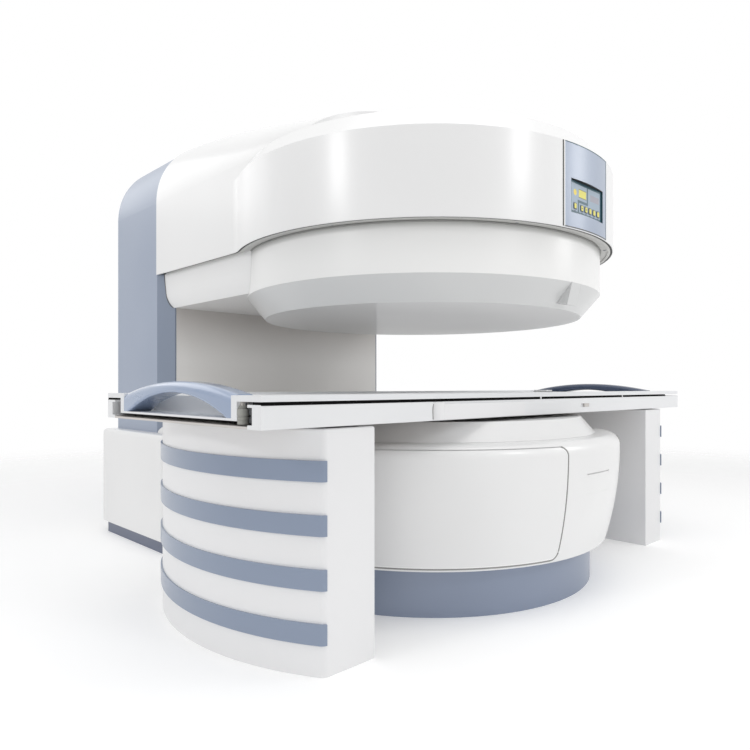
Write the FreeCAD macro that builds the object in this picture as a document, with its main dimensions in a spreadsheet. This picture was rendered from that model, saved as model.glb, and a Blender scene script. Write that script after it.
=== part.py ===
import FreeCAD, Part
import math
import os
import re

import Sketcher

# An open, column-type magnetic resonance scanner with its patient table, in millimetres.
# The origin is the point of the floor on the axis of the two magnet poles. X runs along the table,
# Y towards the column at the back, Z up. The magnet is a C: a thick lower yoke on the floor, a column
# yoke behind it and an upper yoke above, each pole built up of a magnet, a pole piece and a coil.
# Thin moulded covers close it. The table stands in front on two pedestals, one each side of the
# lower pole: its frame of two channel rails slides across them, and the bed rolls along the rails.

# ---------------------------------------------------------------- driving sizes

SIZES = {
    "fit": 0.3,  # play between two pieces that meet
    "skin": 8,  # wall of a moulded cover

    "lower_face": 625,  # height of the lower pole face
    "pole_gap": 391.6,  # free height between the pole faces
    "coil_thick": 40,  # gradient coil
    "coil_rad": 500,  # gradient coil
    "pole_thick": 95,  # pole piece
    "pole_rad": 560,  # pole piece
    "shim_height": 30,  # rim of the pole piece round its coil
    "shim_width": 45,  # rim of the pole piece
    "magnet_thick": 170,  # magnet disc
    "magnet_rad": 520,  # magnet disc
    "yoke_rad": 620,  # round part of a yoke
    "yoke_half": 520,  # half width of the yoke's neck and column
    "yoke_front": 985,  # front of the column yoke
    "yoke_back": 1400,  # back of the yoke
    "upper_yoke_thick": 272,  # upper yoke

    "plinth_rad": 689,  # round base plinth
    "plinth_high": 162,  # round base plinth
    "cone_top_rad": 655,  # flat top of the lower pole cover
    "cone_low_rad": 709,  # foot of its cone, which rests on the shoulder of the lower body
    "cone_lip": 14,  # upright lip inside the cone's foot
    "cone_seam": 1,  # play round that lip
    "shoulder_high": 562,  # flat shoulder of the lower body
    "shoulder_bend": 42,  # radius of its rounded edge
    "bulge_rad": 799.4,  # widest radius of the lower body
    "bulge_curve": 1225,  # radius of its long side curve
    "body_foot_rad": 747,  # lower body at its bottom edge
    "foot_bend": 7.5,  # that edge, rounded
    "panel_low": 171,  # lower seam of the inset panels
    "panel_high": 548,  # upper seam of the inset panels
    "panel_bend": 30,  # corner radius of the inset panels
    "panel_seam": 3,  # width of the seam round a panel
    "panel_ledge": 15,  # ledge behind a panel's edge
    "panel_thick": 4,  # thickness of an inset panel
    "panel_root": 400,  # panels are cut from this radius outwards
    "left_panel_start": 11.3,  # left panel, from the front centre
    "right_panel_start": 27,  # right panel, from the front centre
    "panel_end": 79.3,  # far edge of both panels
    "groove_high": 448,  # upper of the two shallow grooves
    "groove_pitch": 67,  # to the lower groove
    "groove_deep": 5,  # depth
    "groove_width": 6,  # height of a groove
    "groove_angle": 12,  # angle that a groove covers
    "groove_shift": 2,  # its middle, right of the front centre

    "yoke_room": 60,  # free room between the yoke and the covers beside it
    "neck_half_low": 700,  # half width of the lower neck cover
    "neck_bend": 40,  # its top corners
    "base_half": 761,  # half width of the white base covers
    "base_front": 840,  # front of the white base covers
    "whole_depth": 2339.4,  # from the lower body's front to the back of the base covers
    "base_low": 50,  # underside of the white base covers and top of the rear plinth
    "base_high": 525,  # top of the white base covers
    "base_bend": 22,  # their rounded edges
    "rear_plinth_half": 757,  # half width of the rear plinth under the base covers
    "rear_plinth_neck": 708,  # half width of its front ends, under the neck cover
    "rear_plinth_back": 1468,  # back of the rear plinth
    "rear_plinth_front": 560,  # front ends of the rear plinth
    "rear_plinth_wall": 70,  # thickness of its sides

    "column_half": 701.6,  # half width of the blue column
    "column_front": 1024.5,  # front edge of its side covers
    "column_back": 1480,  # back of the column
    "fascia_half": 652,  # front corner of the slanted fascia strips
    "fascia_slant": 0.85,  # a wall of one across a slanted strip measures this much along X
    "panel_plane": 944,  # front plane of the white column panel
    "rear_half": 450,  # half width of the rear cover
    "rear_low": 560,  # rear cover
    "rear_high": 1640,  # rear cover
    "louvre_count": 7,  # slots in the rear cover
    "louvre_pitch": 34,  # slot to slot
    "louvre_low": 820,  # lowest slot
    "louvre_height": 12,  # height of a slot
    "louvre_half": 260,  # half length of a slot

    "head_rad": 775,  # round head of the upper cover
    "cover_low": 1264.5,  # lower edge of the upper cover
    "head_crease": 1547,  # top of the head's upright wall
    "head_top_rad": 720,  # top edge of the head's slanted band
    "head_top": 1616,  # flat top of the head
    "neck_half": 705.6,  # half width of the neck
    "neck_crease": 1601,  # top of the upright walls of the neck and the column
    "neck_blend": 150,  # radius of the hollow bend between head and neck
    "crown_bend": 345,  # how far in the crown's rounded sides reach
    "crown_curve": 5200,  # radius of its long rise from the head
    "crown_end": 1460,  # how far behind the pole axis the middle of that arc lies
    "crown_top": 1942.7,  # height of the whole machine, where the crown meets the column
    "crown_start": -440,  # front end of the crown, inside the head
    "crown_set": 6,  # the crown starts this far inside the head's top edge
    "column_inset": 4,  # the column lies this far inside the crown
    "rim_thick": 6,  # closing rim under the upper cover
    "rim_in": 600,  # its hanger ring, inside
    "rim_band": 12,  # wall of the hanger ring

    "drum_rad": 727,  # upright wall of the upper pole cover
    "drum_low": 1100,  # lower edge of that wall
    "face_rim_rad": 655,  # lower edge of its slanted band
    "face_rad": 648,  # glossy pole face plate
    "lamp_half": 31,  # half width of the positioning lamp
    "lamp_drop": 1023,  # height of its lower front edge
    "lamp_front": 708,  # distance of that edge from the axis
    "lamp_back": 668,  # where its underside ends on the slanted band

    "arm_high_half": 681,  # half width of the arm's underside cover at its top
    "arm_half": 677,  # half width where its sides begin to curve in
    "arm_edge": 1190,  # height of that place
    "arm_low_half": 655,  # half width of its flat underside
    "arm_low": 1107,  # underside of the arm

    "console_angle": 10.9,  # half angle of the control panel
    "console_seam": 2,  # groove at each side of the control panel
    "bezel_half": 110,  # half width of the keypad
    "bezel_low": 1317,  # keypad
    "bezel_high": 1429,  # keypad
    "bezel_thick": 8,  # keypad
    "bezel_inset": 13,  # keypad face behind the head's roundest line
    "key_wide": 17,  # key
    "key_high": 18,  # key
    "key_stand": 2,  # a key stands out of the keypad
    "key_deep": 6,  # a key reaches behind its face
    "key_row": 1344,  # height of the row of keys
    "key_first": -30,  # first key of the row of five
    "key_pitch": 28.3,  # key to key
    "key_single": -76,  # key on its own
    "window_wide": 62,  # display window
    "window_high": 22,  # display window
    "window_x": 60,  # middle of the display window
    "window_z": 1391,  # middle of the display window
    "window_thick": 3,  # display window

    "table_x": 50,  # middle of the table along X
    "table_y": -126,  # middle of the table across
    "leg_height": 633,  # pedestals
    "leg_inner": 875,  # inner face of a pedestal from the table's middle
    "leg_outer": 1050,  # outer front corner of a pedestal
    "leg_half": 449,  # half depth of a pedestal
    "leg_bow": 128,  # how far the outer face bows out
    "leg_bend": 20,  # outer upright corners
    "leg_wall": 8,  # wall of a pedestal
    "leg_top_bend": 6,  # top edge
    "band_high": 54,  # blue band
    "band_first": 83,  # lower edge of the lowest band
    "band_pitch": 138.3,  # band to band
    "band_count": 4,  # bands on a pedestal
    "band_thick": 5,  # how far a band stands out
    "band_wrap": 5,  # a band ends this far round the corner
    "guide_wide": 34,  # lateral guide bar
    "guide_half": 380,  # half length of a guide bar
    "guide_first": 920,  # inner guide bar from the table's middle
    "guide_pitch": 95,  # to the outer guide bar

    "bed_long": 2490,  # length of the bed and its rails
    "rail_low": 638,  # underside of the rails
    "rail_high": 697,  # top of the rails
    "rail_out": 455,  # outer face of a rail from the table's middle
    "rail_web": 38,  # thickness of its web
    "rail_lip": 20,  # how far its lips reach inwards
    "lip_low": 10,  # thickness of the lower lip
    "lip_high": 7,  # thickness of the upper lip
    "rail_bend": 3,  # outer edges of a rail
    "plate_thick": 6,  # frame plate between the rails
    "latch_x": 303,  # left end of the latch slot
    "slot_long": 70,  # latch slot
    "slot_low": 660,  # latch slot
    "slot_high": 674,  # latch slot
    "slot_deep": 8,  # latch slot
    "latch_long": 36,  # latch
    "latch_sunk": 1,  # latch face below the rail's face
    "grip_left": -587,  # left end of the side grip
    "grip_right": -105,  # right end of the side grip
    "grip_boss": 50,  # length of its thick end
    "grip_low": 641,  # side grip
    "grip_high": 688,  # side grip
    "grip_thick": 6,  # side grip
    "boss_thick": 15,  # its thick end

    "flange_half": 454,  # half width of the bed's flanges
    "flange_low": 704,  # underside of the flanges
    "tray_top": 719,  # top of the flanges
    "wall_out": 350,  # outer face of the tray's walls
    "wall_in": 324,  # inner face of the tray's walls
    "tray_low": 656,  # underside of the tray
    "floor_thick": 6,  # tray floor
    "board_short": 96,  # the bed top ends this far inside the tray
    "board_top": 713,  # upper face of the bed top
    "board_bend": 24,  # corners of the bed top
    "block_high": 10,  # small raised block on the bed top
    "block_long": 60,  # small raised block
    "block_wide": 80,  # small raised block
    "block_shift": 223,  # its middle behind the table's middle line
    "handle_wide": 80,  # handle
    "handle_top": 756,  # highest point of a handle
    "handle_shoulder": 721,  # where a handle's end becomes upright
    "handle_under": 724,  # highest point under a handle
    "handle_foot": 294,  # inner edge of a handle's foot
    "handle_bend": 24,  # rounded upper edges of a handle
    "handle_soft": 7,  # rounded edges under a handle
    "handle_fit": 0.3,  # handle to tray wall

    "roller_rad": 30,  # guide roller
    "roller_inset": 47,  # guide rollers from the ends of the rails
    "roller_gap": 3.5,  # guide roller to the lips
    "roller_groove": 3,  # depth of its groove
    "pin_rad": 6,  # roller bolts and wheel axles
    "pin_play": 0.06,  # running play round them
    "bolt_head_rad": 10,  # head of a roller bolt
    "bolt_head": 5,  # head of a roller bolt
    "wheel_rad": 20.5,  # load wheel
    "wheel_x": 800,  # load wheels from the table's middle
    "wheel_wide": 18,  # load wheel
    "wheel_side": 4,  # load wheel to the rail's web
    "collar_rad": 9,  # collar of an axle
}

# Sizes that follow from those.
LINKED = {
    "upper_face": "lower_face + pole_gap",  # height of the upper pole face
    "pole_stack": "skin + coil_thick + pole_thick + magnet_thick",  # pole face to yoke
    "lower_yoke_top": "lower_face - pole_stack",  # the lower yoke stands on the floor
    "upper_yoke_low": "upper_face + pole_stack",  # underside of the upper yoke
    "base_back": "whole_depth - bulge_rad",  # back of the white base covers
    # height of the middle of the crown's arc
    "crown_peak": "crown_top + crown_curve - sqrt(crown_curve^2 - (crown_end - column_front)^2)",
    "bed_half": "bed_long / 2",  # half length of the bed and its rails
    "roller_x": "bed_half - roller_inset",  # guide rollers from the table's middle
}

doc = FreeCAD.newDocument("mri_scanner")
sheet = doc.addObject("Spreadsheet::Sheet", "Sizes")
for row, (name, number) in enumerate(SIZES.items(), 1):
    sheet.set(f"A{row}", name)
    sheet.set(f"B{row}", str(number))
    sheet.setAlias(f"B{row}", name)
doc.recompute()


# ---------------------------------------------------------------- ways of making a piece

WORD = re.compile(r"[a-z][a-z0-9_]*")


def spelled(text, prefix=""):
    """The text of a size in the names of the sheet, with each linked size written out."""
    def spell(match):
        name = match.group()
        if name in LINKED:
            return f"({spelled(LINKED[name], prefix)})"
        return prefix + name if name in SIZES else name

    return WORD.sub(spell, str(text))


def bound(text):
    """The text of a size for an expression of another object."""
    return spelled(text, "Sizes.")


def value(text):
    """What the text of a size comes to now."""
    return float(sheet.evalExpression(spelled(text)))


def bind(thing, **texts):
    for name, text in texts.items():
        thing.setExpression(name, bound(text))


def place(thing, x=0, y=0, z=0):
    for axis, text in zip("xyz", (x, y, z)):
        thing.setExpression(f"Placement.Base.{axis}", bound(text))


def box(name, x, y, z):
    """A block between two places on each axis."""
    thing = doc.addObject("Part::Box", name)
    bind(thing, Length=f"({x[1]}) - ({x[0]})", Width=f"({y[1]}) - ({y[0]})", Height=f"({z[1]}) - ({z[0]})")
    place(thing, x[0], y[0], z[0])
    return thing


def cylinder(name, radius, low, high, x=0, y=0):
    """An upright round block."""
    thing = doc.addObject("Part::Cylinder", name)
    bind(thing, Radius=radius, Height=f"({high}) - ({low})")
    place(thing, x, y, low)
    return thing


def fuse(name, *things):
    whole = doc.addObject("Part::MultiFuse", name)
    whole.Shapes = list(things)
    whole.Refine = True
    return whole


def cut(name, base, *tools):
    whole = doc.addObject("Part::Cut", name)
    whole.Base = base
    whole.Tool = tools[0] if len(tools) == 1 else fuse(name + "_tools", *tools)
    return whole


def common(name, *things):
    whole = doc.addObject("Part::MultiCommon", name)
    whole.Shapes = list(things)
    return whole


def arc_between(start, end, radius):
    """The shorter arc: a positive radius turns left on the way, a negative one turns right."""
    chord = end - start
    along = chord.Length / 2
    rise = math.sqrt(max(radius * radius - along * along, 0))
    left = FreeCAD.Vector(-chord.y, chord.x, 0).normalize()
    centre = (start + end) / 2 + left * math.copysign(rise, radius)
    first, last = (start, end) if radius > 0 else (end, start)
    angles = [math.atan2(p.y - centre.y, p.x - centre.x) for p in (first, last)]
    if angles[1] <= angles[0]:
        angles[1] += 2 * math.pi
    circle = Part.Circle(centre, FreeCAD.Vector(0, 0, 1), abs(radius))
    return Part.ArcOfCircle(circle, angles[0], angles[1])


def quarter_between(start, end, centre):
    """A quarter of an ellipse that lies flat, wider than high, turning left on the way."""
    wide = max(abs(start.x - centre.x), abs(end.x - centre.x))
    high = max(abs(start.y - centre.y), abs(end.y - centre.y))
    first = 0 if start.x > centre.x else math.pi / 2
    return Part.ArcOfEllipse(Part.Ellipse(centre, wide, high), first, first + math.pi / 2)


def outline(body, plane, steps, offset=0):
    """A closed sketch. Each step is (u, v), or (u, v, radius) where an arc leads to the point,
    or (u, v, u of centre, v of centre) where a quarter of an ellipse does."""
    sketch = body.newObject("Sketcher::SketchObject", body.Name + "_outline")
    flat = [f for f in body.Origin.OriginFeatures if f.Role == plane][0]
    sketch.AttachmentSupport = [(flat, "")]
    sketch.MapMode = "FlatFace"
    sketch.setExpression("AttachmentOffset.Base.z", bound(offset))
    spots = [FreeCAD.Vector(value(s[0]), value(s[1]), 0) for s in steps]
    starts = []
    for i in range(len(steps)):
        here, there = spots[i], spots[(i + 1) % len(steps)]
        bend = steps[(i + 1) % len(steps)][2:]
        if len(bend) == 2:
            centre = FreeCAD.Vector(value(bend[0]), value(bend[1]), 0)
            starts.append((sketch.addGeometry(quarter_between(here, there, centre), False), 1, 2))
        elif bend:
            radius = value(bend[0])
            edge = sketch.addGeometry(arc_between(here, there, radius), False)
            sketch.addConstraint(Sketcher.Constraint("Radius", edge, abs(radius)))
            sketch.setExpression(f"Constraints[{sketch.ConstraintCount - 1}]", bound(f"abs({bend[0]})"))
            starts.append((edge, 1, 2) if radius > 0 else (edge, 2, 1))
        else:
            edge = sketch.addGeometry(Part.LineSegment(here, there), False)
            starts.append((edge, 1, 2))
    for i, (edge, start, end) in enumerate(starts):
        following, following_start, _ = starts[(i + 1) % len(starts)]
        sketch.addConstraint(Sketcher.Constraint("Coincident", edge, end, following, following_start))
        across, up = ("DistanceX", steps[i][0], spots[i].x), ("DistanceY", steps[i][1], spots[i].y)
        for kind, text, number in (across, up):
            sketch.addConstraint(Sketcher.Constraint(kind, -1, 1, edge, start, number))
            sketch.setExpression(f"Constraints[{sketch.ConstraintCount - 1}]", bound(text))
    return sketch


def pad(name, plane, steps, low, high):
    """An outline drawn out between two places on the axis square to its plane."""
    body = doc.addObject("PartDesign::Body", name)
    back = plane == "XZ_Plane"
    sketch = outline(body, plane, steps, f"-({low})" if back else low)
    feature = body.newObject("PartDesign::Pad", name + "_pad")
    feature.Profile = sketch
    feature.setExpression("Length", bound(f"({high}) - ({low})"))
    feature.Reversed = back
    return body


def drawn_through(name, plane, sections):
    """A smooth solid through outlines, given as pairs of their place across the plane and steps."""
    body = doc.addObject("PartDesign::Body", name)
    back = plane == "XZ_Plane"
    sketches = [outline(body, plane, steps, f"-({spot})" if back else spot) for spot, steps in sections]
    feature = body.newObject("PartDesign::AdditiveLoft", name + "_loft")
    feature.Profile = sketches[0]
    feature.Sections = sketches[1:]
    return body


def turned(name, steps, angle=360):
    """An outline in X and Z turned round the pole axis."""
    body = doc.addObject("PartDesign::Body", name)
    sketch = outline(body, "XZ_Plane", steps)
    feature = body.newObject("PartDesign::Revolution", name + "_turn")
    feature.Profile = sketch
    feature.ReferenceAxis = (sketch, ["V_Axis"])
    feature.setExpression("Angle", bound(angle))
    return body


def rounded(body, radius, wanted):
    """Rounds the edges of the body's last feature that the test picks."""
    doc.recompute()
    base = body.Tip
    names = [f"Edge{i + 1}" for i, edge in enumerate(base.Shape.Edges) if wanted(edge)]
    feature = body.newObject("PartDesign::Fillet", f"{body.Name}_round{len(body.Group)}")
    feature.Base = (base, names)
    feature.setExpression("Radius", bound(radius))
    return body


def middle(edge):
    return edge.valueAt((edge.FirstParameter + edge.LastParameter) / 2)


def upright(edge):
    """A straight edge along Z."""
    direction = edge.tangentAt(edge.FirstParameter)
    return edge.Curve.TypeId == "Part::GeomLine" and abs(direction.z) > 0.999


def lengthwise(edge):
    """A straight edge along X."""
    direction = edge.tangentAt(edge.FirstParameter)
    return edge.Curve.TypeId == "Part::GeomLine" and abs(direction.x) > 0.999


pieces = {}


def piece(name, thing):
    """Keeps a finished sub-part under its own label."""
    thing.Label = name
    pieces[name] = thing
    return thing


# ---------------------------------------------------------------- the magnet inside the covers

def neck_steps(radius, half, back):
    """Seen from above: a disc whose back opens into a straight neck."""
    meet = f"sqrt(({radius})^2 - ({half})^2)"
    return [
        (f"{half}", back),
        (f"-({half})", back),
        (f"-({half})", meet),
        (0, f"-({radius})", radius),
        (f"{half}", meet, radius),
    ]


def ring_steps(inside, outside, low, high):
    """An upright ring seen in section."""
    return [(inside, low), (outside, low), (outside, high), (inside, high)]


yoke_form = neck_steps("yoke_rad", "yoke_half", "yoke_back")
piece("lower_yoke", pad("lower_yoke", "XY_Plane", yoke_form, 0, "lower_yoke_top"))
upper_yoke_high = "upper_yoke_low + upper_yoke_thick"
piece("upper_yoke", pad("upper_yoke", "XY_Plane", yoke_form, "upper_yoke_low", upper_yoke_high))
column_yoke = box("column_yoke", ("-yoke_half", "yoke_half"), ("yoke_front", "yoke_back"),
                  ("lower_yoke_top", "upper_yoke_low"))
piece("column_yoke", column_yoke)


def pole_stack(name, face, up):
    """The pieces between a pole face and its yoke. The stack grows up or down from the face."""
    def level(depth):
        return f"{face} + ({depth})" if up else f"{face} - ({depth})"

    coil_face, coil_back = "skin", "skin + coil_thick"
    magnet_face, magnet_back = "skin + coil_thick + pole_thick", "pole_stack"
    spans = {
        "magnet": ("magnet_rad", magnet_face, magnet_back),
        "gradient_coil": ("coil_rad", coil_face, coil_back),
    }
    for kind, (radius, near, far) in spans.items():
        low, high = (near, far) if up else (far, near)
        piece(f"{name}_{kind}", cylinder(f"{name}_{kind}", radius, level(low), level(high)))
    rim = f"{coil_back} - shim_height"
    steps = [
        (0, level(magnet_face)),
        ("pole_rad", level(magnet_face)),
        ("pole_rad", level(rim)),
        ("pole_rad - shim_width", level(rim)),
        ("pole_rad - shim_width", level(coil_back)),
        (0, level(coil_back)),
    ]
    piece(f"{name}_pole_piece", turned(f"{name}_pole_piece", steps))


pole_stack("lower", "lower_face", False)
pole_stack("upper", "upper_face", True)

# ---------------------------------------------------------------- lower covers

plinth_steps = [
    ("plinth_rad - skin", 0),
    ("plinth_rad", 0),
    ("plinth_rad", "plinth_high"),
    ("yoke_rad + fit", "plinth_high"),
    ("yoke_rad + fit", "plinth_high - skin"),
    ("plinth_rad - skin", "plinth_high - skin"),
]
plinth_gap = box("plinth_gap", ("-yoke_half - fit", "yoke_half + fit"), (0, "yoke_back"),
                 (-1, "plinth_high + 1"))
piece("base_plinth", cut("base_plinth", turned("plinth_ring", plinth_steps), plinth_gap))

cone_foot, lip_low_end = "shoulder_high + fit", "shoulder_high - cone_lip"
dome_steps = [
    (0, "lower_face"),
    ("cone_top_rad", "lower_face"),
    ("cone_low_rad", cone_foot),
    ("cone_low_rad - skin", cone_foot),
    ("cone_low_rad - skin", lip_low_end),
    ("cone_low_rad - 2 * skin", lip_low_end),
    ("cone_low_rad - 2 * skin", cone_foot),
    ("cone_top_rad - skin / 2", "lower_face - skin"),
    (0, "lower_face - skin"),
]
piece("lower_pole_cover", turned("lower_pole_cover", dome_steps))


def body_outside(grow):
    """The lower body's outline in section, from its flat shoulder down to its foot."""
    return [
        ("bulge_rad - shoulder_bend", f"shoulder_high + ({grow})"),
        (f"bulge_rad + ({grow})", "shoulder_high - shoulder_bend", f"-(shoulder_bend + ({grow}))"),
        (f"body_foot_rad + ({grow})", f"plinth_high - ({grow})", f"-(bulge_curve + ({grow}))"),
    ]


def body_inside(wall):
    """The same outline, one wall further in and drawn upwards."""
    return [
        (f"body_foot_rad - ({wall})", f"plinth_high + ({wall})"),
        (f"bulge_rad - ({wall})", "shoulder_high - shoulder_bend", f"bulge_curve - ({wall})"),
        ("bulge_rad - shoulder_bend", f"shoulder_high - ({wall})", f"shoulder_bend - ({wall})"),
    ]


body_hole = "cone_low_rad - skin + cone_seam"
body_floor = "yoke_rad + 3 * skin"
shell_steps = [(body_hole, "shoulder_high")] + body_outside(0)
shell_steps += [(body_floor, "plinth_high"), (body_floor, "plinth_high + skin")]
shell_steps += body_inside("skin") + [(body_hole, "shoulder_high - skin")]
skin_steps = [(body_hole, "shoulder_high")] + body_outside(0)
skin_steps += body_inside("panel_thick") + [(body_hole, "shoulder_high - panel_thick")]


def window(name, centre, half, low, high, bend):
    """A cutter with rounded corners for a panel on the round lower body."""
    reach = 1000
    spots = []
    for radius in ("panel_root", reach):
        for angle in (f"({centre}) - ({half})", f"({centre}) + ({half})"):
            spots.append((f"{radius} * sin({angle})", f"-({radius}) * cos({angle})"))
    ordered = [spots[0], spots[2], spots[3], spots[1]]
    cutter = pad(name, "XY_Plane", ordered, low, high)

    def radial(edge):
        direction = edge.tangentAt(edge.FirstParameter)
        spot = middle(edge)
        outwards = FreeCAD.Vector(spot.x, spot.y, 0).normalize()
        return edge.Curve.TypeId == "Part::GeomLine" and abs(direction.dot(outwards)) > 0.999

    return rounded(cutter, bend, radial)


openings = []
for side, sign in (("left", -1), ("right", 1)):
    centre = f"({sign}) * ({side}_panel_start + panel_end) / 2"
    half_angle = f"(panel_end - {side}_panel_start) / 2"
    seam_angle = "panel_seam / bulge_rad * 180 / pi"
    ledge_angle = "panel_ledge / bulge_rad * 180 / pi"
    inner_low, inner_high = "panel_low + panel_seam", "panel_high - panel_seam"
    gap = window(f"{side}_window", centre, half_angle, "panel_low", "panel_high", "panel_bend")
    plate = window(f"{side}_plate", centre, f"{half_angle} - {seam_angle}", inner_low, inner_high,
                   "panel_bend - panel_seam")
    hole = window(f"{side}_hole", centre, f"{half_angle} - {ledge_angle}", "panel_low + panel_ledge",
                  "panel_high - panel_ledge", "panel_bend - panel_ledge")
    openings += [common(f"{side}_recess", turned(f"{side}_recess_skin", skin_steps), gap), hole]
    name = f"{side}_body_panel"
    piece(name, common(name, turned(f"{side}_panel_skin", skin_steps), plate))

# The strip between the panels has two shallow grooves, and the back is open to the yoke's neck.
for number in range(2):
    middle_z = f"groove_high - {number} * groove_pitch"
    groove = turned(f"groove_{number}", [
        ("bulge_rad", f"{middle_z} - groove_width / 2"),
        ("bulge_rad", f"{middle_z} + groove_width / 2"),
        ("bulge_rad - 1.6 * groove_deep", f"{middle_z}"),
    ], "groove_angle")
    groove.setExpression("Placement.Rotation.Angle", bound("groove_shift - 90 - groove_angle / 2"))
    groove.Placement = FreeCAD.Placement(FreeCAD.Vector(), FreeCAD.Rotation(FreeCAD.Vector(0, 0, 1), 1))
    openings.append(groove)
back_opening = box("body_gap", ("-yoke_half - yoke_room", "yoke_half + yoke_room"), (0, "yoke_back"),
                   (0, "shoulder_high - yoke_room"))
openings.append(back_opening)


def foot_edge(edge):
    spot = middle(edge)
    return spot.z < value("plinth_high") + 1 and spot.Length > value("body_foot_rad")


body_shell = rounded(turned("body_shell", shell_steps), "foot_bend", foot_edge)
piece("lower_front_cover", cut("lower_front_cover", body_shell, *openings))

scribe_steps = [(0, "shoulder_high + fit")] + body_outside("fit") + [("body_foot_rad + fit", -1), (0, -1)]
scribe = turned("body_scribe", scribe_steps)


def column_steps(grow):
    """The column's footprint seen from above, with its slanted front strips."""
    corner, side = f"(fascia_half + fascia_slant * ({grow}))", f"(column_half + ({grow}))"
    front, bend = f"panel_plane - ({grow}) / 2", f"column_front - ({grow}) / 3"
    back = f"column_back + ({grow})"
    return [
        (f"-{side}", back),
        (f"-{side}", bend),
        (f"-{corner}", front),
        (corner, front),
        (side, bend),
        (side, back),
    ]


neck_outside = [
    ("-neck_half_low", "base_low"),
    ("neck_half_low", "base_low"),
    ("neck_half_low", "shoulder_high - neck_bend"),
    ("neck_half_low - neck_bend", "shoulder_high", "neck_bend"),
    ("-neck_half_low + neck_bend", "shoulder_high"),
    ("-neck_half_low", "shoulder_high - neck_bend", "neck_bend"),
]
neck_inside = [
    ("-neck_half_low + skin", "base_low - 1"),
    ("neck_half_low - skin", "base_low - 1"),
    ("neck_half_low - skin", "shoulder_high - neck_bend"),
    ("neck_half_low - neck_bend", "shoulder_high - skin", "neck_bend - skin"),
    ("-neck_half_low + neck_bend", "shoulder_high - skin"),
    ("-neck_half_low + skin", "shoulder_high - neck_bend", "neck_bend - skin"),
]
neck_shell = pad("neck_shell", "XZ_Plane", neck_outside, 0, "column_front")
neck_hollow = pad("neck_hollow", "XZ_Plane", neck_inside, -1, "column_front + 1")
neck_back = pad("neck_back", "XY_Plane", column_steps("fit"), 0, "crown_peak")
piece("lower_neck_cover", cut("lower_neck_cover", neck_shell, neck_hollow, scribe, neck_back))

plinth_in = "rear_plinth_half - rear_plinth_wall"
rear_plinth_steps = [
    ("-rear_plinth_neck", "rear_plinth_front"),
    (f"-({plinth_in})", "rear_plinth_front"),
    (f"-({plinth_in})", "yoke_back + fit"),
    (plinth_in, "yoke_back + fit"),
    (plinth_in, "rear_plinth_front"),
    ("rear_plinth_neck", "rear_plinth_front"),
    ("rear_plinth_neck", "base_front"),
    ("rear_plinth_half", "base_front"),
    ("rear_plinth_half", "rear_plinth_back"),
    ("-rear_plinth_half", "rear_plinth_back"),
    ("-rear_plinth_half", "base_front"),
    ("-rear_plinth_neck", "base_front"),
]
piece("rear_plinth", pad("rear_plinth", "XY_Plane", rear_plinth_steps, 0, "base_low"))

for side, sign in (("left", -1), ("right", 1)):
    base_steps = [
        (f"{sign} * (column_half + fit)", "base_front"),
        (f"{sign} * base_half", "base_front"),
        (f"{sign} * base_half", "base_back"),
        (0, "base_back"),
        (0, "column_back + fit"),
        (f"{sign} * (column_half + fit)", "column_back + fit"),
    ]
    base_hollow = [
        (f"{sign} * (yoke_half + yoke_room)", "base_front + skin"),
        (f"{sign} * (base_half - skin)", "base_front + skin"),
        (f"{sign} * (base_half - skin)", "base_back - skin"),
        (f"{-sign} * skin", "base_back - skin"),
        (f"{-sign} * skin", "yoke_back"),
        (f"{sign} * (yoke_half + yoke_room)", "yoke_back"),
    ]
    turn = 1 if sign > 0 else -1
    shell = pad(f"{side}_base_shell", "XY_Plane", base_steps[::turn], "base_low", "base_high")

    def outer_corner(edge):
        return upright(edge) and abs(middle(edge).x) > value("base_half") - 1

    def outer_top(edge):
        spot = middle(edge)
        outside = abs(spot.x) > value("column_half + 2 * fit") or spot.y > value("base_back") - 1
        return spot.z > value("base_high") - 1 and outside

    rounded(shell, "base_bend", outer_corner)
    rounded(shell, "base_bend", outer_top)
    hollow = pad(f"{side}_base_hollow", "XY_Plane", base_hollow[::turn], "base_low + skin",
                 "base_high - skin")
    piece(f"base_cover_{side}", cut(f"base_cover_{side}", shell, hollow))

# ---------------------------------------------------------------- the column's covers


def crown_section(half, top, low):
    """A section across X: upright sides up to the crease, rounded over into a flat top."""
    flat = f"({half}) - crown_bend"
    return [
        (f"-({half})", low),
        (f"{half}", low),
        (f"{half}", "neck_crease"),
        (flat, top, flat, "neck_crease"),
        (f"-({flat})", top),
        (f"-({half})", "neck_crease", f"-({flat})", "neck_crease"),
    ]


def crown_height(y):
    """The long arc of the crown's top line, seen from the side."""
    return f"(crown_peak - crown_curve + sqrt(crown_curve^2 - (crown_end - ({y}))^2))"


def column_form(name, grow, low):
    """The column as one block, or its hollow when it grows by less than nothing."""
    top = f"{crown_height('column_front')} - column_inset + ({grow})"
    section = crown_section(f"column_half + ({grow})", top, low)
    back = f"column_back + ({grow})"
    upright_form = pad(name + "_plan", "XY_Plane", column_steps(grow), low, "crown_peak + skin")
    across_form = pad(name + "_section", "XZ_Plane", section, "panel_plane - skin", back)
    return common(name, upright_form, across_form)


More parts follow.
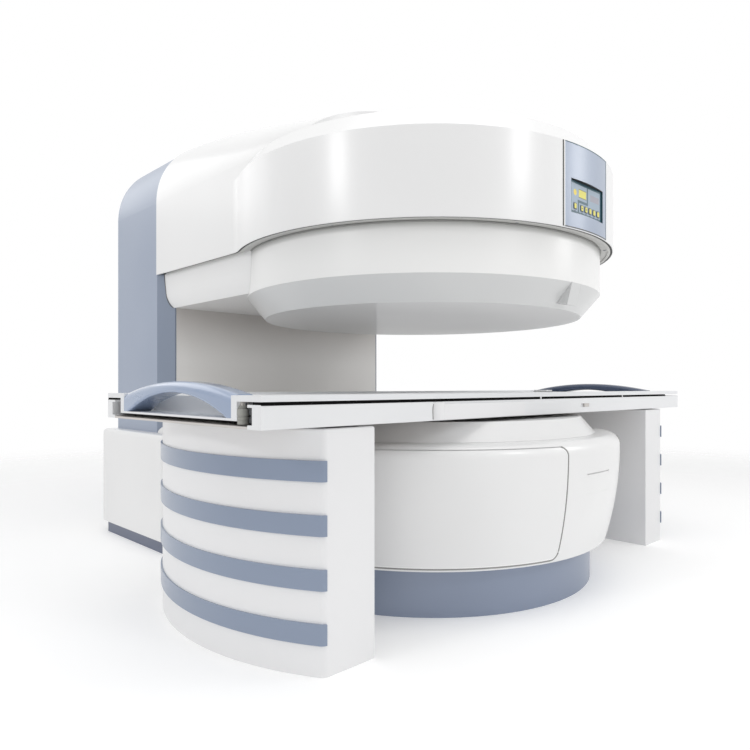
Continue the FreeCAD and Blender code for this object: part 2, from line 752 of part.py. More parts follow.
column_block = column_form("column_block", 0, "base_low")
column_hollow = column_form("column_hollow", "-skin", "base_low - skin")
front_gap_half = "fascia_half - fascia_slant * skin"
front_gap = box("front_gap", (f"-({front_gap_half})", front_gap_half),
                ("panel_plane - skin", "panel_plane + 2 * skin"), (0, "crown_peak"))
arm_gap = box("arm_gap", ("-head_rad", "head_rad"), ("panel_plane - skin", "column_front"),
              ("cover_low", "2 * crown_peak"))
through_back = ("column_back - 2 * skin", "column_back + skin")
rear_gap = box("rear_gap", ("-rear_half - fit", "rear_half + fit"), through_back,
               ("rear_low - fit", "rear_high + fit"))
column_shell = cut("column_shell", column_block, column_hollow, front_gap, arm_gap, rear_gap)
for side, reach in (("left", ("-head_rad", 0)), ("right", (0, "head_rad"))):
    half = box(f"{side}_half", reach, (0, "base_back"), (0, "2 * crown_peak"))
    piece(f"column_cover_{side}", common(f"column_cover_{side}", column_shell, half))

louvres = []
for number in range(int(value("louvre_count"))):
    low = f"louvre_low + {number} * louvre_pitch"
    up = (low, f"{low} + louvre_height")
    louvres.append(box(f"louvre_{number}", ("-louvre_half", "louvre_half"), through_back, up))
rear_plate = box("rear_plate", ("-rear_half", "rear_half"), ("column_back - skin", "column_back"),
                 ("rear_low", "rear_high"))
piece("rear_cover", cut("rear_cover", rear_plate, *louvres))
panel_half = f"{front_gap_half} - fit"
piece("column_front_panel", box("column_front_panel", (f"-({panel_half})", panel_half),
                                ("panel_plane", "panel_plane + skin"), ("base_high", "cover_low")))

# ---------------------------------------------------------------- upper cover: head, neck and crown


def head_steps(wall):
    top, crease, low = f"head_top - ({wall})", f"head_crease - ({wall}) / 2", "cover_low - skin"
    return [(0, low), (f"head_rad - ({wall})", low), (f"head_rad - ({wall})", crease),
            (f"head_top_rad - ({wall}) / 2", top), (0, top)]


def crown_form(name, wall, start, back):
    """Neck and crown: upright walls, and above them a top that rises in a long arc out of the head."""
    half, stations = f"neck_half - ({wall})", 6
    sections = []
    for number in range(stations + 1):
        y = f"({start}) + (({back}) - ({start})) * {number} / {stations}"
        sections.append((y, crown_section(half, f"{crown_height(y)} - ({wall})", "cover_low - skin")))
    through = drawn_through(name + "_through", "XZ_Plane", sections)
    plan = neck_steps(f"head_top_rad - crown_set - ({wall})", f"{half} + crown_set / 2", f"{back} + skin")
    plan_form = pad(name + "_plan", "XY_Plane", plan, "cover_low - 2 * skin", "crown_peak + skin")
    return common(name, through, plan_form)


def neck_blend(name, wall):
    """The hollow bend on each side where the round head runs into the straight neck."""
    half, radius, bend = f"(neck_half - ({wall}))", f"(head_rad - ({wall}))", f"(neck_blend + ({wall}))"
    centre_x, reach = f"({half} + {bend})", f"({radius} + {bend})"
    centre_y = f"sqrt({reach}^2 - {centre_x}^2)"
    touch_x, touch_y = f"{centre_x} * {radius} / {reach}", f"{centre_y} * {radius} / {reach}"
    inner = f"{half} - neck_blend / 4"
    bends = []
    for side, sign in (("left", -1), ("right", 1)):
        steps = [
            (f"{sign} * ({inner})", touch_y),
            (f"{sign} * ({touch_x})", touch_y),
            (f"{sign} * {half}", centre_y, f"-({sign} * {bend})"),
            (f"{sign} * ({inner})", centre_y),
        ]
        bends.append(pad(f"{name}_{side}", "XY_Plane", steps, "cover_low - skin", "head_crease"))
    return bends


head = turned("head_block", head_steps(0))
neck_and_crown = crown_form("crown_block", 0, "crown_start", "column_front")
head_hollow = turned("head_hollow", head_steps("skin"))
crown_hollow = crown_form("crown_hollow", "skin", "crown_start + 8 * skin", "column_front + skin")


def console(name, half, inside):
    """The blue panel let into the head's upright wall."""
    left, right = f"-({half})", f"{half}"
    reach = 1000
    steps = [(0, 0), (f"-{reach} * tan({half})", -reach), (f"{reach} * tan({half})", -reach)]
    wedge = pad(name + "_wedge", "XY_Plane", steps, "cover_low", "head_crease")
    ring = turned(name + "_ring", ring_steps(inside, "head_rad", "cover_low", "head_crease"))
    return common(name, ring, wedge)


bezel_face = "-(head_rad - bezel_inset)"
bezel_back = f"{bezel_face} + bezel_thick"
bezel_hole_x = ("-bezel_half - fit", "bezel_half + fit")
bezel_hole_z = ("bezel_low - fit", "bezel_high + fit")
recess = console("console_recess", "console_angle", "head_rad - panel_thick")
bezel_hole = box("bezel_hole", bezel_hole_x, ("-head_rad - skin", f"{bezel_back} + skin"), bezel_hole_z)
upper_block = fuse("upper_block", head, neck_and_crown, *neck_blend("neck_blend", 0))
upper_hollow = fuse("upper_hollow", head_hollow, crown_hollow)
whole_width = ("-2 * head_rad", "2 * head_rad")
open_bottom = box("open_bottom", whole_width, whole_width, (0, "cover_low"))
piece("upper_cover", cut("upper_cover", upper_block, upper_hollow, open_bottom, recess, bezel_hole))
panel_hole = box("panel_hole", bezel_hole_x, ("-head_rad - skin", f"{bezel_back} + skin"), bezel_hole_z)
plate_angle = "console_angle - console_seam / head_rad * 180 / pi"
console_plate = console("console_plate", plate_angle, "head_rad - panel_thick")
piece("control_panel", cut("control_panel", console_plate, panel_hole))

# Keypad: a flat plate with a window and six keys that press straight in.
key_places = {"key_single": "key_single"}
for number in range(5):
    key_places[f"key_{number + 1}"] = f"key_first + {number} * key_pitch"
key_holes = []
for name, x in key_places.items():
    across_key = (f"{x} - key_wide / 2", f"{x} + key_wide / 2")
    up_key = ("key_row - key_high / 2", "key_row + key_high / 2")
    piece(name, box(name, across_key, (f"{bezel_face} - key_stand", f"{bezel_face} + key_deep"), up_key))
    across_hole = (f"{across_key[0]} - fit", f"{across_key[1]} + fit")
    up_hole = (f"{up_key[0]} - fit", f"{up_key[1]} + fit")
    through = (f"{bezel_face} - key_stand", f"{bezel_back} + skin")
    key_holes.append(box(name + "_hole", across_hole, through, up_hole))
window_x = ("window_x - window_wide / 2", "window_x + window_wide / 2")
window_z = ("window_z - window_high / 2", "window_z + window_high / 2")
window_y = (bezel_face, f"{bezel_face} + window_thick")
window_hole = box("window_hole", window_x, (f"{bezel_face} - key_stand", window_y[1]), window_z)
bezel_plate = box("bezel_plate", ("-bezel_half", "bezel_half"), (bezel_face, bezel_back),
                  ("bezel_low", "bezel_high"))
piece("keypad_bezel", cut("keypad_bezel", bezel_plate, window_hole, *key_holes))
piece("display_window", box("display_window", window_x, window_y, window_z))

# ---------------------------------------------------------------- under the upper cover

rim_high = "cover_low + rim_thick"
rim_half = "neck_half - skin - fit"
rim_plate = pad("rim_plate", "XY_Plane", neck_steps("head_rad - skin - fit", rim_half, "panel_plane - fit"),
                "cover_low", rim_high)
hanger = cylinder("hanger", "rim_in + rim_band", "cover_low", "upper_yoke_low")
rim_hole = cylinder("rim_hole", "rim_in", "cover_low - 1", "upper_yoke_low + 1")
piece("upper_cover_carrier", cut("upper_cover_carrier", fuse("carrier_form", rim_plate, hanger), rim_hole))

face_seat = "upper_face + skin"
drum_in = "drum_rad - skin"
drum_steps = [
    ("face_rim_rad", "upper_face"),
    ("drum_rad", "drum_low"),
    ("drum_rad", "cover_low"),
    (drum_in, "cover_low"),
    (drum_in, "drum_low + skin / 2"),
    ("face_rim_rad - skin / 2", f"{face_seat} + skin"),
    ("pole_rad + 5 * skin", f"{face_seat} + skin"),
    ("pole_rad + 5 * skin", face_seat),
    ("face_rad + fit", face_seat),
    ("face_rad + fit", "upper_face"),
]
piece("upper_pole_cover", turned("upper_pole_cover", drum_steps))
piece("upper_pole_face", cylinder("upper_pole_face", "face_rad", "upper_face", face_seat))

drum_solid_steps = [(0, "upper_face"), ("face_rim_rad", "upper_face"), ("drum_rad", "drum_low"),
                    ("drum_rad", "cover_low"), (0, "cover_low")]
lamp_steps = [("-drum_rad", "drum_low"), ("-lamp_front", "lamp_drop"), ("-lamp_back", "lamp_drop + skin"),
              ("-lamp_back + skin", "drum_low")]
lamp_form = pad("lamp_form", "YZ_Plane", lamp_steps, "-lamp_half", "lamp_half")
piece("positioning_lamp", cut("positioning_lamp", lamp_form, turned("lamp_scribe", drum_solid_steps)))


def arm_steps(wall, top):
    """The arm's underside in section, like a hull: nearly upright sides that curve in to a flat bottom."""
    high_half, half = f"(arm_high_half - ({wall}))", f"(arm_half - ({wall}))"
    low_half, low = f"(arm_low_half - ({wall}))", f"(arm_low + ({wall}))"
    bend = f"(({half} - {low_half})^2 + (arm_edge - {low})^2) / (2 * ({half} - {low_half}))"
    return [
        (f"-{low_half}", low, bend),
        (low_half, low),
        (half, "arm_edge", bend),
        (high_half, top),
        (f"-{high_half}", top),
        (f"-{half}", "arm_edge"),
    ]


arm_form = pad("arm_form", "XZ_Plane", arm_steps(0, "cover_low"), 0, "column_front")
arm_hollow = pad("arm_hollow", "XZ_Plane", arm_steps("skin", "cover_low + skin"), -1, "column_front + 1")
drum_scribe = cylinder("drum_scribe", "drum_rad + fit", "upper_face", "upper_yoke_low")
arm_back = pad("arm_back", "XY_Plane", column_steps("fit"), 0, "crown_peak")
piece("arm_underside_cover", cut("arm_underside_cover", arm_form, arm_hollow, drum_scribe, arm_back))

# ---------------------------------------------------------------- table: pedestals


def on_table(side, reach):
    return f"table_x + {side} * ({reach})"


def leg_steps(side, grow, inner):
    """A pedestal seen from above: a flat inner face and a bowed outer one."""
    corner, half = f"leg_outer + ({grow})", f"leg_half + ({grow})"
    radius = f"(({half})^2 + leg_bow^2) / (2 * leg_bow)"
    steps = [
        (on_table(side, inner), f"table_y - ({half})"),
        (on_table(side, corner), f"table_y - ({half})"),
        (on_table(side, corner), f"table_y + {half}", f"{side} * {radius}"),
        (on_table(side, inner), f"table_y + {half}"),
    ]
    return steps


def leg_form(name, side, grow, inner, low, high):
    body = pad(name, "XY_Plane", leg_steps(side, grow, inner), low, high)
    reach = value(f"leg_outer + ({grow})")

    def outer_corner(edge):
        return upright(edge) and abs(abs(middle(edge).x - value("table_x")) - reach) < 0.01

    return rounded(body, f"leg_bend + ({grow})", outer_corner)


bands = []
for name, side in (("left", -1), ("right", 1)):
    block = leg_form(f"{name}_leg_block", side, 0, "leg_inner", 0, "leg_height")

    def top_edge(edge):
        return middle(edge).z > value("leg_height") - 1

    rounded(block, "leg_top_bend", top_edge)
    hollow = leg_form(f"{name}_leg_hollow", side, "-leg_wall", "leg_inner + leg_wall", -1,
                      "leg_height - leg_wall")
    piece(f"{name}_pedestal", cut(f"{name}_pedestal", block, hollow))
    sleeve = leg_form(f"{name}_sleeve", side, "band_thick", "leg_inner", 0, "leg_height")
    core = leg_form(f"{name}_core", side, 0, "leg_inner", -1, "leg_height + 1")
    levels = []
    for number in range(int(value("band_count"))):
        low = f"band_first + {number} * band_pitch"
        reach = (on_table(side, "leg_outer - band_wrap"), on_table(side, "2 * leg_outer"))
        levels.append(box(f"{name}_level_{number}", reach[::side],
                          ("table_y - 2 * leg_half", "table_y + 2 * leg_half"), (low, f"{low} + band_high")))
    bars = common(f"{name}_band_bars", sleeve, fuse(f"{name}_levels", *levels))
    bands.append(cut(f"{name}_bands", bars, core))
piece("leg_bands", fuse("leg_bands", *bands))

guides = []
for side in (-1, 1):
    for number in range(2):
        reach = f"guide_first + {number} * guide_pitch"
        x = (f"{on_table(side, reach)} - guide_wide / 2", f"{on_table(side, reach)} + guide_wide / 2")
        guides.append(box(f"guide_{side + 1}_{number}", x, ("table_y - guide_half", "table_y + guide_half"),
                          ("leg_height", "rail_low - fit")))
piece("lateral_guides", fuse("lateral_guides", *guides))

# ---------------------------------------------------------------- table: sliding frame

ends = ("table_x - bed_half", "table_x + bed_half")


def rail(name, side):
    """A channel rail, open towards the bed."""
    def across_y(reach):
        return f"table_y + {side} * ({reach})"

    web, lip = "rail_out - rail_web", "rail_out - rail_web - rail_lip"
    steps = [
        (across_y("rail_out"), "rail_low"),
        (across_y("rail_out"), "rail_high"),
        (across_y(lip), "rail_high"),
        (across_y(lip), "rail_high - lip_high"),
        (across_y(web), "rail_high - lip_high"),
        (across_y(web), "rail_low + lip_low"),
        (across_y(lip), "rail_low + lip_low"),
        (across_y(lip), "rail_low"),
    ]
    body = pad(name, "YZ_Plane", steps, *ends)

    def outer(edge):
        return lengthwise(edge) and abs(abs(middle(edge).y - value("table_y")) - value("rail_out")) < 0.01

    return rounded(body, "rail_bend", outer)


front_rail = rail("front_rail_bar", -1)
slot_y = ("table_y - rail_out - 1", "table_y - rail_out + slot_deep")
slot = box("latch_slot", ("latch_x", "latch_x + slot_long"), slot_y, ("slot_low", "slot_high"))
piece("front_rail", cut("front_rail", front_rail, slot))
piece("rear_rail", rail("rear_rail", 1))
plate_half = "rail_out - rail_web - rail_lip"
piece("frame_plate", box("frame_plate", ends, (f"table_y - ({plate_half})", f"table_y + ({plate_half})"),
                         ("rail_low", "rail_low + plate_thick")))
piece("rail_latch", box("rail_latch", ("latch_x + slot_long - fit - latch_long", "latch_x + slot_long - fit"),
                        ("table_y - rail_out + latch_sunk", "table_y - rail_out + slot_deep - fit"),
                        ("slot_low + fit", "slot_high - fit")))

rail_face = "table_y - rail_out"
grip_plate = box("grip_plate", ("grip_left + grip_boss / 2", "grip_right"),
                 (f"{rail_face} - grip_thick", rail_face), ("grip_low", "grip_high"))
boss_radius = "((grip_boss / 2)^2 + boss_thick^2) / (2 * boss_thick)"
boss_steps = [
    ("grip_left + grip_boss", rail_face, boss_radius),
    ("grip_left", rail_face),
    ("grip_left + grip_boss / 2", f"{rail_face} - boss_thick", boss_radius),
]
grip_end = pad("grip_end", "XY_Plane", boss_steps, "grip_low", "rail_high - rail_bend")
piece("side_grip", fuse("side_grip", grip_plate, grip_end))

# ---------------------------------------------------------------- table: bed


def y_at(reach):
    return f"table_y + ({reach})"


tray_steps = [
    (y_at("-flange_half"), "flange_low"),
    (y_at("-wall_out"), "flange_low"),
    (y_at("-wall_out"), "tray_low"),
    (y_at("wall_out"), "tray_low"),
    (y_at("wall_out"), "flange_low"),
    (y_at("flange_half"), "flange_low"),
    (y_at("flange_half"), "tray_top"),
    (y_at("wall_in"), "tray_top"),
    (y_at("wall_in"), "tray_low + floor_thick"),
    (y_at("-wall_in"), "tray_low + floor_thick"),
    (y_at("-wall_in"), "tray_top"),
    (y_at("-flange_half"), "tray_top"),
]
piece("bed_board", pad("bed_board", "YZ_Plane", tray_steps, *ends))

floor = "tray_low + floor_thick"
inside_half = "wall_in - handle_fit"
board = [
    ("table_x - bed_half + board_short", y_at(f"-({inside_half})")),
    ("table_x + bed_half - board_short", y_at(f"-({inside_half})")),
    ("table_x + bed_half - board_short", y_at(inside_half)),
    ("table_x - bed_half + board_short", y_at(inside_half)),
]
piece("bed_top", rounded(pad("bed_top", "XY_Plane", board, floor, "board_top"), "board_bend", upright))

block_end = "table_x + bed_half - board_short - board_bend"
piece("coil_socket", box("coil_socket", (f"{block_end} - block_long", block_end),
                         (y_at("block_shift - block_wide / 2"), y_at("block_shift + block_wide / 2")),
                         ("board_top", "board_top + block_high")))


def arc_radius(half, rise):
    return f"(({half})^2 + ({rise})^2) / (2 * ({rise}))"


crown_radius = arc_radius(inside_half, "handle_top - handle_shoulder")
under_radius = arc_radius("handle_foot", f"handle_under - ({floor})")
handle_steps = [
    (y_at(f"-({inside_half})"), floor),
    (y_at("-handle_foot"), floor),
    (y_at("handle_foot"), floor, f"-({under_radius})"),
    (y_at(inside_half), floor),
    (y_at(inside_half), "handle_shoulder"),
    (y_at(f"-({inside_half})"), "handle_shoulder", crown_radius),
]
for name, near, far in (("left_handle", ends[0], f"{ends[0]} + handle_wide"),
                        ("right_handle", f"{ends[1]} - handle_wide", ends[1])):
    def upper_edge(edge):
        high = middle(edge).z > value("handle_shoulder + handle_top") / 2
        return edge.Curve.TypeId == "Part::GeomCircle" and high

    def under_edge(edge):
        low = middle(edge).z < value("handle_under") + 1
        return edge.Curve.TypeId == "Part::GeomCircle" and low

    handle = pad(name, "YZ_Plane", handle_steps, near, far)
    piece(name, rounded(rounded(handle, "handle_soft", under_edge), "handle_bend", upper_edge))

# ---------------------------------------------------------------- table: rollers and wheels


def lying(name, radius, start, length, x, z):
    """A round block along Y, from start by length; a negative length runs the other way."""
    thing = doc.addObject("Part::Cylinder", name)
    backwards = str(length).startswith("-")
    bind(thing, Radius=radius, Height=str(length).lstrip("-"))
    turn = FreeCAD.Rotation(FreeCAD.Vector(1, 0, 0), 90 if backwards else -90)
    thing.Placement = FreeCAD.Placement(FreeCAD.Vector(), turn)
    place(thing, x, start, z)
    return thing


channel = "rail_out - rail_web"
roller_low, roller_high = "rail_low + lip_low + roller_gap", "rail_high - lip_high - roller_gap"
roller_y = f"{channel} - fit - roller_rad"
wheel_z = "rail_low + lip_low + fit + wheel_rad"
wheel_near = f"{channel} - wheel_side - wheel_wide"
axles = []
for row, side in (("front", -1), ("rear", 1)):
    for end, sign in (("left", -1), ("right", 1)):
        x, y = f"table_x + {sign} * roller_x", f"table_y + {side} * ({roller_y})"
        belt = f"({roller_high} + {roller_low}) / 2"
        name = f"{row}_guide_roller_{end}"
        tyre = cylinder(name + "_tyre", "roller_rad", roller_low, roller_high, x, y)
        bore = cylinder(name + "_bore", "pin_rad + pin_play", "rail_low", "tray_top", x, y)
        head_room = (f"{roller_low} - 1", f"{roller_low} + bolt_head + 1")
        counterbore = cylinder(name + "_counterbore", "bolt_head_rad + 1", *head_room, x, y)
        belt_room = (f"{belt} - roller_groove", f"{belt} + roller_groove")
        groove_out = cylinder(name + "_groove", "roller_rad + 1", *belt_room, x, y)
        groove_core = cylinder(name + "_core", "roller_rad - roller_groove", "rail_low", "tray_top", x, y)
        groove_ring = cut(name + "_groove_ring", groove_out, groove_core)
        piece(name, cut(name, tyre, bore, counterbore, groove_ring))
        shank = cylinder(name + "_shank", "pin_rad", roller_low, "flange_low", x, y)
        head_top_z = f"{roller_low} + bolt_head"
        head_of_bolt = cylinder(name + "_head", "bolt_head_rad", roller_low, head_top_z, x, y)
        spacer = cylinder(name + "_spacer", "collar_rad", f"{roller_high} + fit", "flange_low", x, y)
        axles.append(fuse(name + "_bolt", shank, head_of_bolt, spacer))

        x = f"table_x + {sign} * wheel_x"
        name = f"{row}_load_wheel_{end}"
        way = "" if side > 0 else "-"
        start = f"table_y + {side} * ({wheel_near})"
        disc = lying(name + "_disc", "wheel_rad", start, f"{way}wheel_wide", x, wheel_z)
        wall = f"table_y + {side} * wall_out"
        hole = lying(name + "_hole", "pin_rad + pin_play", wall, f"{way}rail_out", x, wheel_z)
        piece(name, cut(name, disc, hole))
        axle_long, collar_long = f"({wheel_near}) + wheel_wide - wall_out", f"({wheel_near}) - fit - wall_out"
        axle = lying(name + "_axle", "pin_rad", wall, f"{way}({axle_long})", x, wheel_z)
        collar = lying(name + "_collar", "collar_rad", wall, f"{way}({collar_long})", x, wheel_z)
        axles.append(fuse(name + "_pin", axle, collar))
piece("roller_axles", fuse("roller_axles", *axles))

# ---------------------------------------------------------------- check and write

doc.recompute()
for thing in doc.Objects:
    faults = [state for state in thing.State if state in ("Invalid", "Error")]
    if faults:
        raise RuntimeError(f"{thing.Label}: {faults}")
for name, thing in pieces.items():
    if thing.Shape.isNull() or not thing.Shape.isValid():
        raise RuntimeError(f"{name}: bad shape")

os.makedirs("parts", exist_ok=True)
for name, thing in sorted(pieces.items()):
    thing.Shape.exportStep(f"parts/{name}.step")
    print(f"{name}: {len(thing.Shape.Solids)} solids, {thing.Shape.Volume / 1e6:.3f} litres")
print(f"{len(pieces)} pieces")
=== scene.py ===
# %% [markdown]
# An open magnetic resonance scanner: a C-shaped magnet under smooth moulded covers, with a patient
# table that straddles its lower pole. The solid parts come in as a fixed frame, at their real size
# in metres. This file gives them their finish, adds the small things that a camera sees, and sets
# up the light. Nothing that the frame brings is moved or reshaped.

import math

import bmesh
import bpy
from mathutils import Matrix, Vector


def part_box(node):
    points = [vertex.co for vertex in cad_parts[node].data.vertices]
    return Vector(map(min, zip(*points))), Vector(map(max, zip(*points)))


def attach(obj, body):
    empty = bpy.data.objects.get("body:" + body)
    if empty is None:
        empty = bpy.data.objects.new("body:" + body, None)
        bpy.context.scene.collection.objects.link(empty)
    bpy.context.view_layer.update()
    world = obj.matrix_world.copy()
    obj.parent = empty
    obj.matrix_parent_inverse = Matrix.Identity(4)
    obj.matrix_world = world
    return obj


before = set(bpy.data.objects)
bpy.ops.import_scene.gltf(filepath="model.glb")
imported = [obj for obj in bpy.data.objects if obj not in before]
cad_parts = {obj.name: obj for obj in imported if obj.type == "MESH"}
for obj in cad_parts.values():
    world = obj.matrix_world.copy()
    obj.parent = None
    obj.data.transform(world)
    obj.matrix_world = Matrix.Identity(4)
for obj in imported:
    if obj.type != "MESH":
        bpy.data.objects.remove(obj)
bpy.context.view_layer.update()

# %% [markdown]
# The camera stands where the photographer stood: left of the table's near corner, a little above
# the bed, and level. The focal length is the one at which both poles keep their shape. A level
# camera keeps upright edges upright, and the small vertical shift puts the horizon where it is in
# the picture, the way a view camera does.

# %% Camera
IMAGE = 750
HORIZON_ROW = 386.9
FOCAL_PIXELS = 630.2
SENSOR = 36.0
CAMERA_PLACE = (-2.0163, -1.8137, 0.7396)
LOOK_ANGLE = math.radians(-43.93)
FARTHEST_SEEN = 60

camera_data = bpy.data.cameras.new("camera")
camera_data.sensor_width = SENSOR
camera_data.lens = FOCAL_PIXELS / IMAGE * SENSOR
camera_data.shift_y = (HORIZON_ROW - IMAGE / 2) / IMAGE
camera_data.clip_end = FARTHEST_SEEN
camera = bpy.data.objects.new("camera", camera_data)
bpy.context.scene.collection.objects.link(camera)
camera.location = CAMERA_PLACE
camera.rotation_euler = (math.radians(90), 0, LOOK_ANGLE)
bpy.context.scene.camera = camera
print("lens:", round(camera_data.lens, 2), "mm")

# %% [markdown]
# Shader maths reads best as plain expressions. `Value` wraps one output of a node, and its
# operators add Math nodes. Every other node comes from `node`, which sets the node's own settings
# first and its sockets after that. `Tree` does this in any tree of nodes, the world's too, and
# `Finish` is the tree of a material with one Principled shader.

# %% A small wrapper for shader maths


class Value:
    """One output of a node, with operators that add Math nodes."""

    def __init__(self, tree, socket):
        self.tree, self.socket = tree, socket

    def maths(self, operation, *inputs):
        return self.tree.node("ShaderNodeMath", {"operation": operation}, dict(enumerate(inputs)))

    def __add__(self, other): return self.maths("ADD", self, other)
    def __radd__(self, other): return self.maths("ADD", other, self)
    def __sub__(self, other): return self.maths("SUBTRACT", self, other)
    def __rsub__(self, other): return self.maths("SUBTRACT", other, self)
    def __mul__(self, other): return self.maths("MULTIPLY", self, other)
    def __rmul__(self, other): return self.maths("MULTIPLY", other, self)
    def __truediv__(self, other): return self.maths("DIVIDE", self, other)
    def __or__(self, other): return self.maths("MAXIMUM", self, other)

    def smooth(self, low, high):
        """0 below low and 1 above high, with a soft step between."""
        sockets = {"Value": self, "From Min": low, "From Max": high}
        return self.tree.node("ShaderNodeMapRange", {"interpolation_type": "SMOOTHSTEP"}, sockets)


class Tree:
    """A tree of nodes, to which `node` adds one at a time."""

    def __init__(self, node_tree):
        self.nodes, self.links = node_tree.nodes, node_tree.links

    def feed(self, socket, what):
        """Links a Value to a socket, or writes a plain number or colour into it."""
        if isinstance(what, Value):
            self.links.new(what.socket, socket)
        else:
            socket.default_value = what

    def node(self, kind, settings=None, sockets=None, output=0):
        made = self.nodes.new(kind)
        for name, setting in (settings or {}).items():
            setattr(made, name, setting)
        for key, what in (sockets or {}).items():
            self.feed(made.inputs[key], what)
        return Value(self, made.outputs[output])


class Finish(Tree):
    """A material under construction: one Principled shader and the nodes that feed it."""

    def __init__(self, name, **sockets):
        self.material = bpy.data.materials.new(name)
        self.material.use_nodes = True
        super().__init__(self.material.node_tree)
        self.shader = self.nodes["Principled BSDF"]
        self.set(**sockets)

    def set(self, **sockets):
        """Sets or links sockets of the Principled shader; a name's underscores are spaces."""
        for name, what in sockets.items():
            self.feed(self.shader.inputs[name.replace("_", " ")], what)

    def place(self):
        """The point on the piece, in metres from the machine's origin."""
        return self.node("ShaderNodeTexCoord", output="Object")

    def axis(self, name):
        return self.node("ShaderNodeSeparateXYZ", None, {0: self.place()}, name)

    def noise(self, scale, detail=2.0):
        sockets = {"Vector": self.place(), "Scale": scale, "Detail": detail}
        return self.node("ShaderNodeTexNoise", None, sockets, "Fac")

    def mix(self, factor, first, second):
        """A colour between two colours."""
        sockets = {0: factor, 6: first, 7: second}
        return self.node("ShaderNodeMix", {"data_type": "RGBA"}, sockets, 2)

    def bump(self, height, depth=1.0):
        """Height in units of depth, which is in metres."""
        return self.node("ShaderNodeBump", None, {"Height": height, "Distance": depth}, "Normal")


def srgb(red, green, blue):
    """A colour as a picture shows it, 0 to 255, turned into the numbers that light works in."""
    def linear(level):
        level /= 255
        return level / 12.92 if level <= 0.04045 else ((level + 0.055) / 1.055) ** 2.4
    return (linear(red), linear(green), linear(blue), 1.0)


print("white in light's numbers:", srgb(255, 255, 255))

# %% [markdown]
# The large covers are glass fibre mouldings sprayed with a gloss lacquer. Lacquer on a big flat
# moulding is never quite flat: it has a very long, very shallow ripple that bends the reflection
# of a lamp, and a fine orange peel. A clear coat over a nearly white base gives the sharp
# highlight, and a slow change of shade keeps the white from looking like paper. The upper pole's
# face is satin paint under a thin clear coat: seen at a flat angle, it faintly mirrors the column's
# edge and the white room.

# %% Gloss lacquer
DRIFT_SCALE = 1.3
RIPPLE_SCALE, RIPPLE = 2.2, 0.0006
PEEL_SCALE, PEEL = 260.0, 0.00004


def drift_over(finish):
    """A slow change over a large moulding, from 0 to 1."""
    return finish.noise(DRIFT_SCALE).smooth(0.3, 0.7)


def ripple_over(finish):
    """The long shallow waves of a sprayed moulding, in metres."""
    return finish.noise(RIPPLE_SCALE, 1.0) * RIPPLE


def lacquer(name, colour, shade, rough, coat, coat_rough):
    """Sprayed lacquer over a moulding: slow shade changes, long ripple and orange peel."""
    finish = Finish(name, Specular_IOR_Level=0.5, Coat_Roughness=coat_rough, Coat_IOR=1.5)
    drift = drift_over(finish)
    fine = finish.noise(PEEL_SCALE, 1.0)
    finish.set(Base_Color=finish.mix(drift, colour, shade), Coat_Weight=coat)
    finish.set(Roughness=rough + 0.05 * drift + 0.03 * (fine - 0.5))
    finish.set(Normal=finish.bump(ripple_over(finish) + fine * PEEL))
    return finish.material


white_cover = lacquer("white_cover", srgb(237, 237, 237), srgb(232, 232, 232), 0.32, 0.5, 0.2)
white_pedestal = lacquer("white_pedestal", srgb(236, 236, 237), srgb(230, 230, 231), 0.36, 0.3,
                         0.25)
panel_grey = lacquer("panel_grey", srgb(205, 200, 196), srgb(199, 195, 191), 0.34, 0.3, 0.2)
white_face = lacquer("white_face", srgb(208, 208, 208), srgb(202, 202, 202), 0.45, 0.25, 0.04)
blue_cover = lacquer("blue_cover", srgb(152, 164, 184), srgb(147, 159, 180), 0.36, 0.25, 0.25)
blue_plinth = lacquer("blue_plinth", srgb(138, 149, 170), srgb(132, 143, 164), 0.34, 0.3, 0.2)
dark_plinth = lacquer("dark_plinth", srgb(92, 100, 122), srgb(84, 92, 114), 0.4, 0.2, 0.25)
console_blue = lacquer("console_blue", srgb(150, 163, 184), srgb(144, 157, 179), 0.34, 0.7, 0.24)
blue_band = lacquer("blue_band", srgb(134, 147, 169), srgb(128, 141, 163), 0.36, 0.5, 0.16)
blue_handle = lacquer("blue_handle", srgb(140, 158, 187), srgb(132, 150, 180), 0.26, 1.0, 0.08)
# The right handle is the same handle as the left one. Its dark navy is painted shade: the side
# turned this way lies in shadow.
shaded_handle_blue = lacquer("shaded_handle_blue", srgb(58, 72, 98), srgb(52, 66, 92), 0.3, 0.4, 0.15)
print("lacquers made")

# %% [markdown]
# The column's front panel pales from a warm grey at the top to nearly white beside the table. The
# darkening towards the top is painted shade under the arm. One soft step in height mixes the two
# colours, which leaves no line where they meet.

# %% Column panel with painted shade towards the top
SHADE_GONE_BELOW, SHADE_FULL_ABOVE = 0.84, 1.12
panel = Finish("column_panel_with_shade", Specular_IOR_Level=0.5, Coat_Weight=0.3, Coat_Roughness=0.2,
               Roughness=0.34)
drift = drift_over(panel)
upper_paint_and_shade = panel.mix(drift, srgb(205, 200, 196), srgb(199, 195, 191))
lower_paint = panel.mix(drift, srgb(247, 245, 242), srgb(243, 241, 238))
# Painted shade: 1 high up under the arm, 0 low down beside the table.
shade_above = panel.axis("Z").smooth(SHADE_GONE_BELOW, SHADE_FULL_ABOVE)
panel.set(Base_Color=panel.mix(shade_above, lower_paint, upper_paint_and_shade))
column_panel_with_shade = panel.material
print("column panel pales from", SHADE_FULL_ABOVE, "m down to", SHADE_GONE_BELOW, "m")
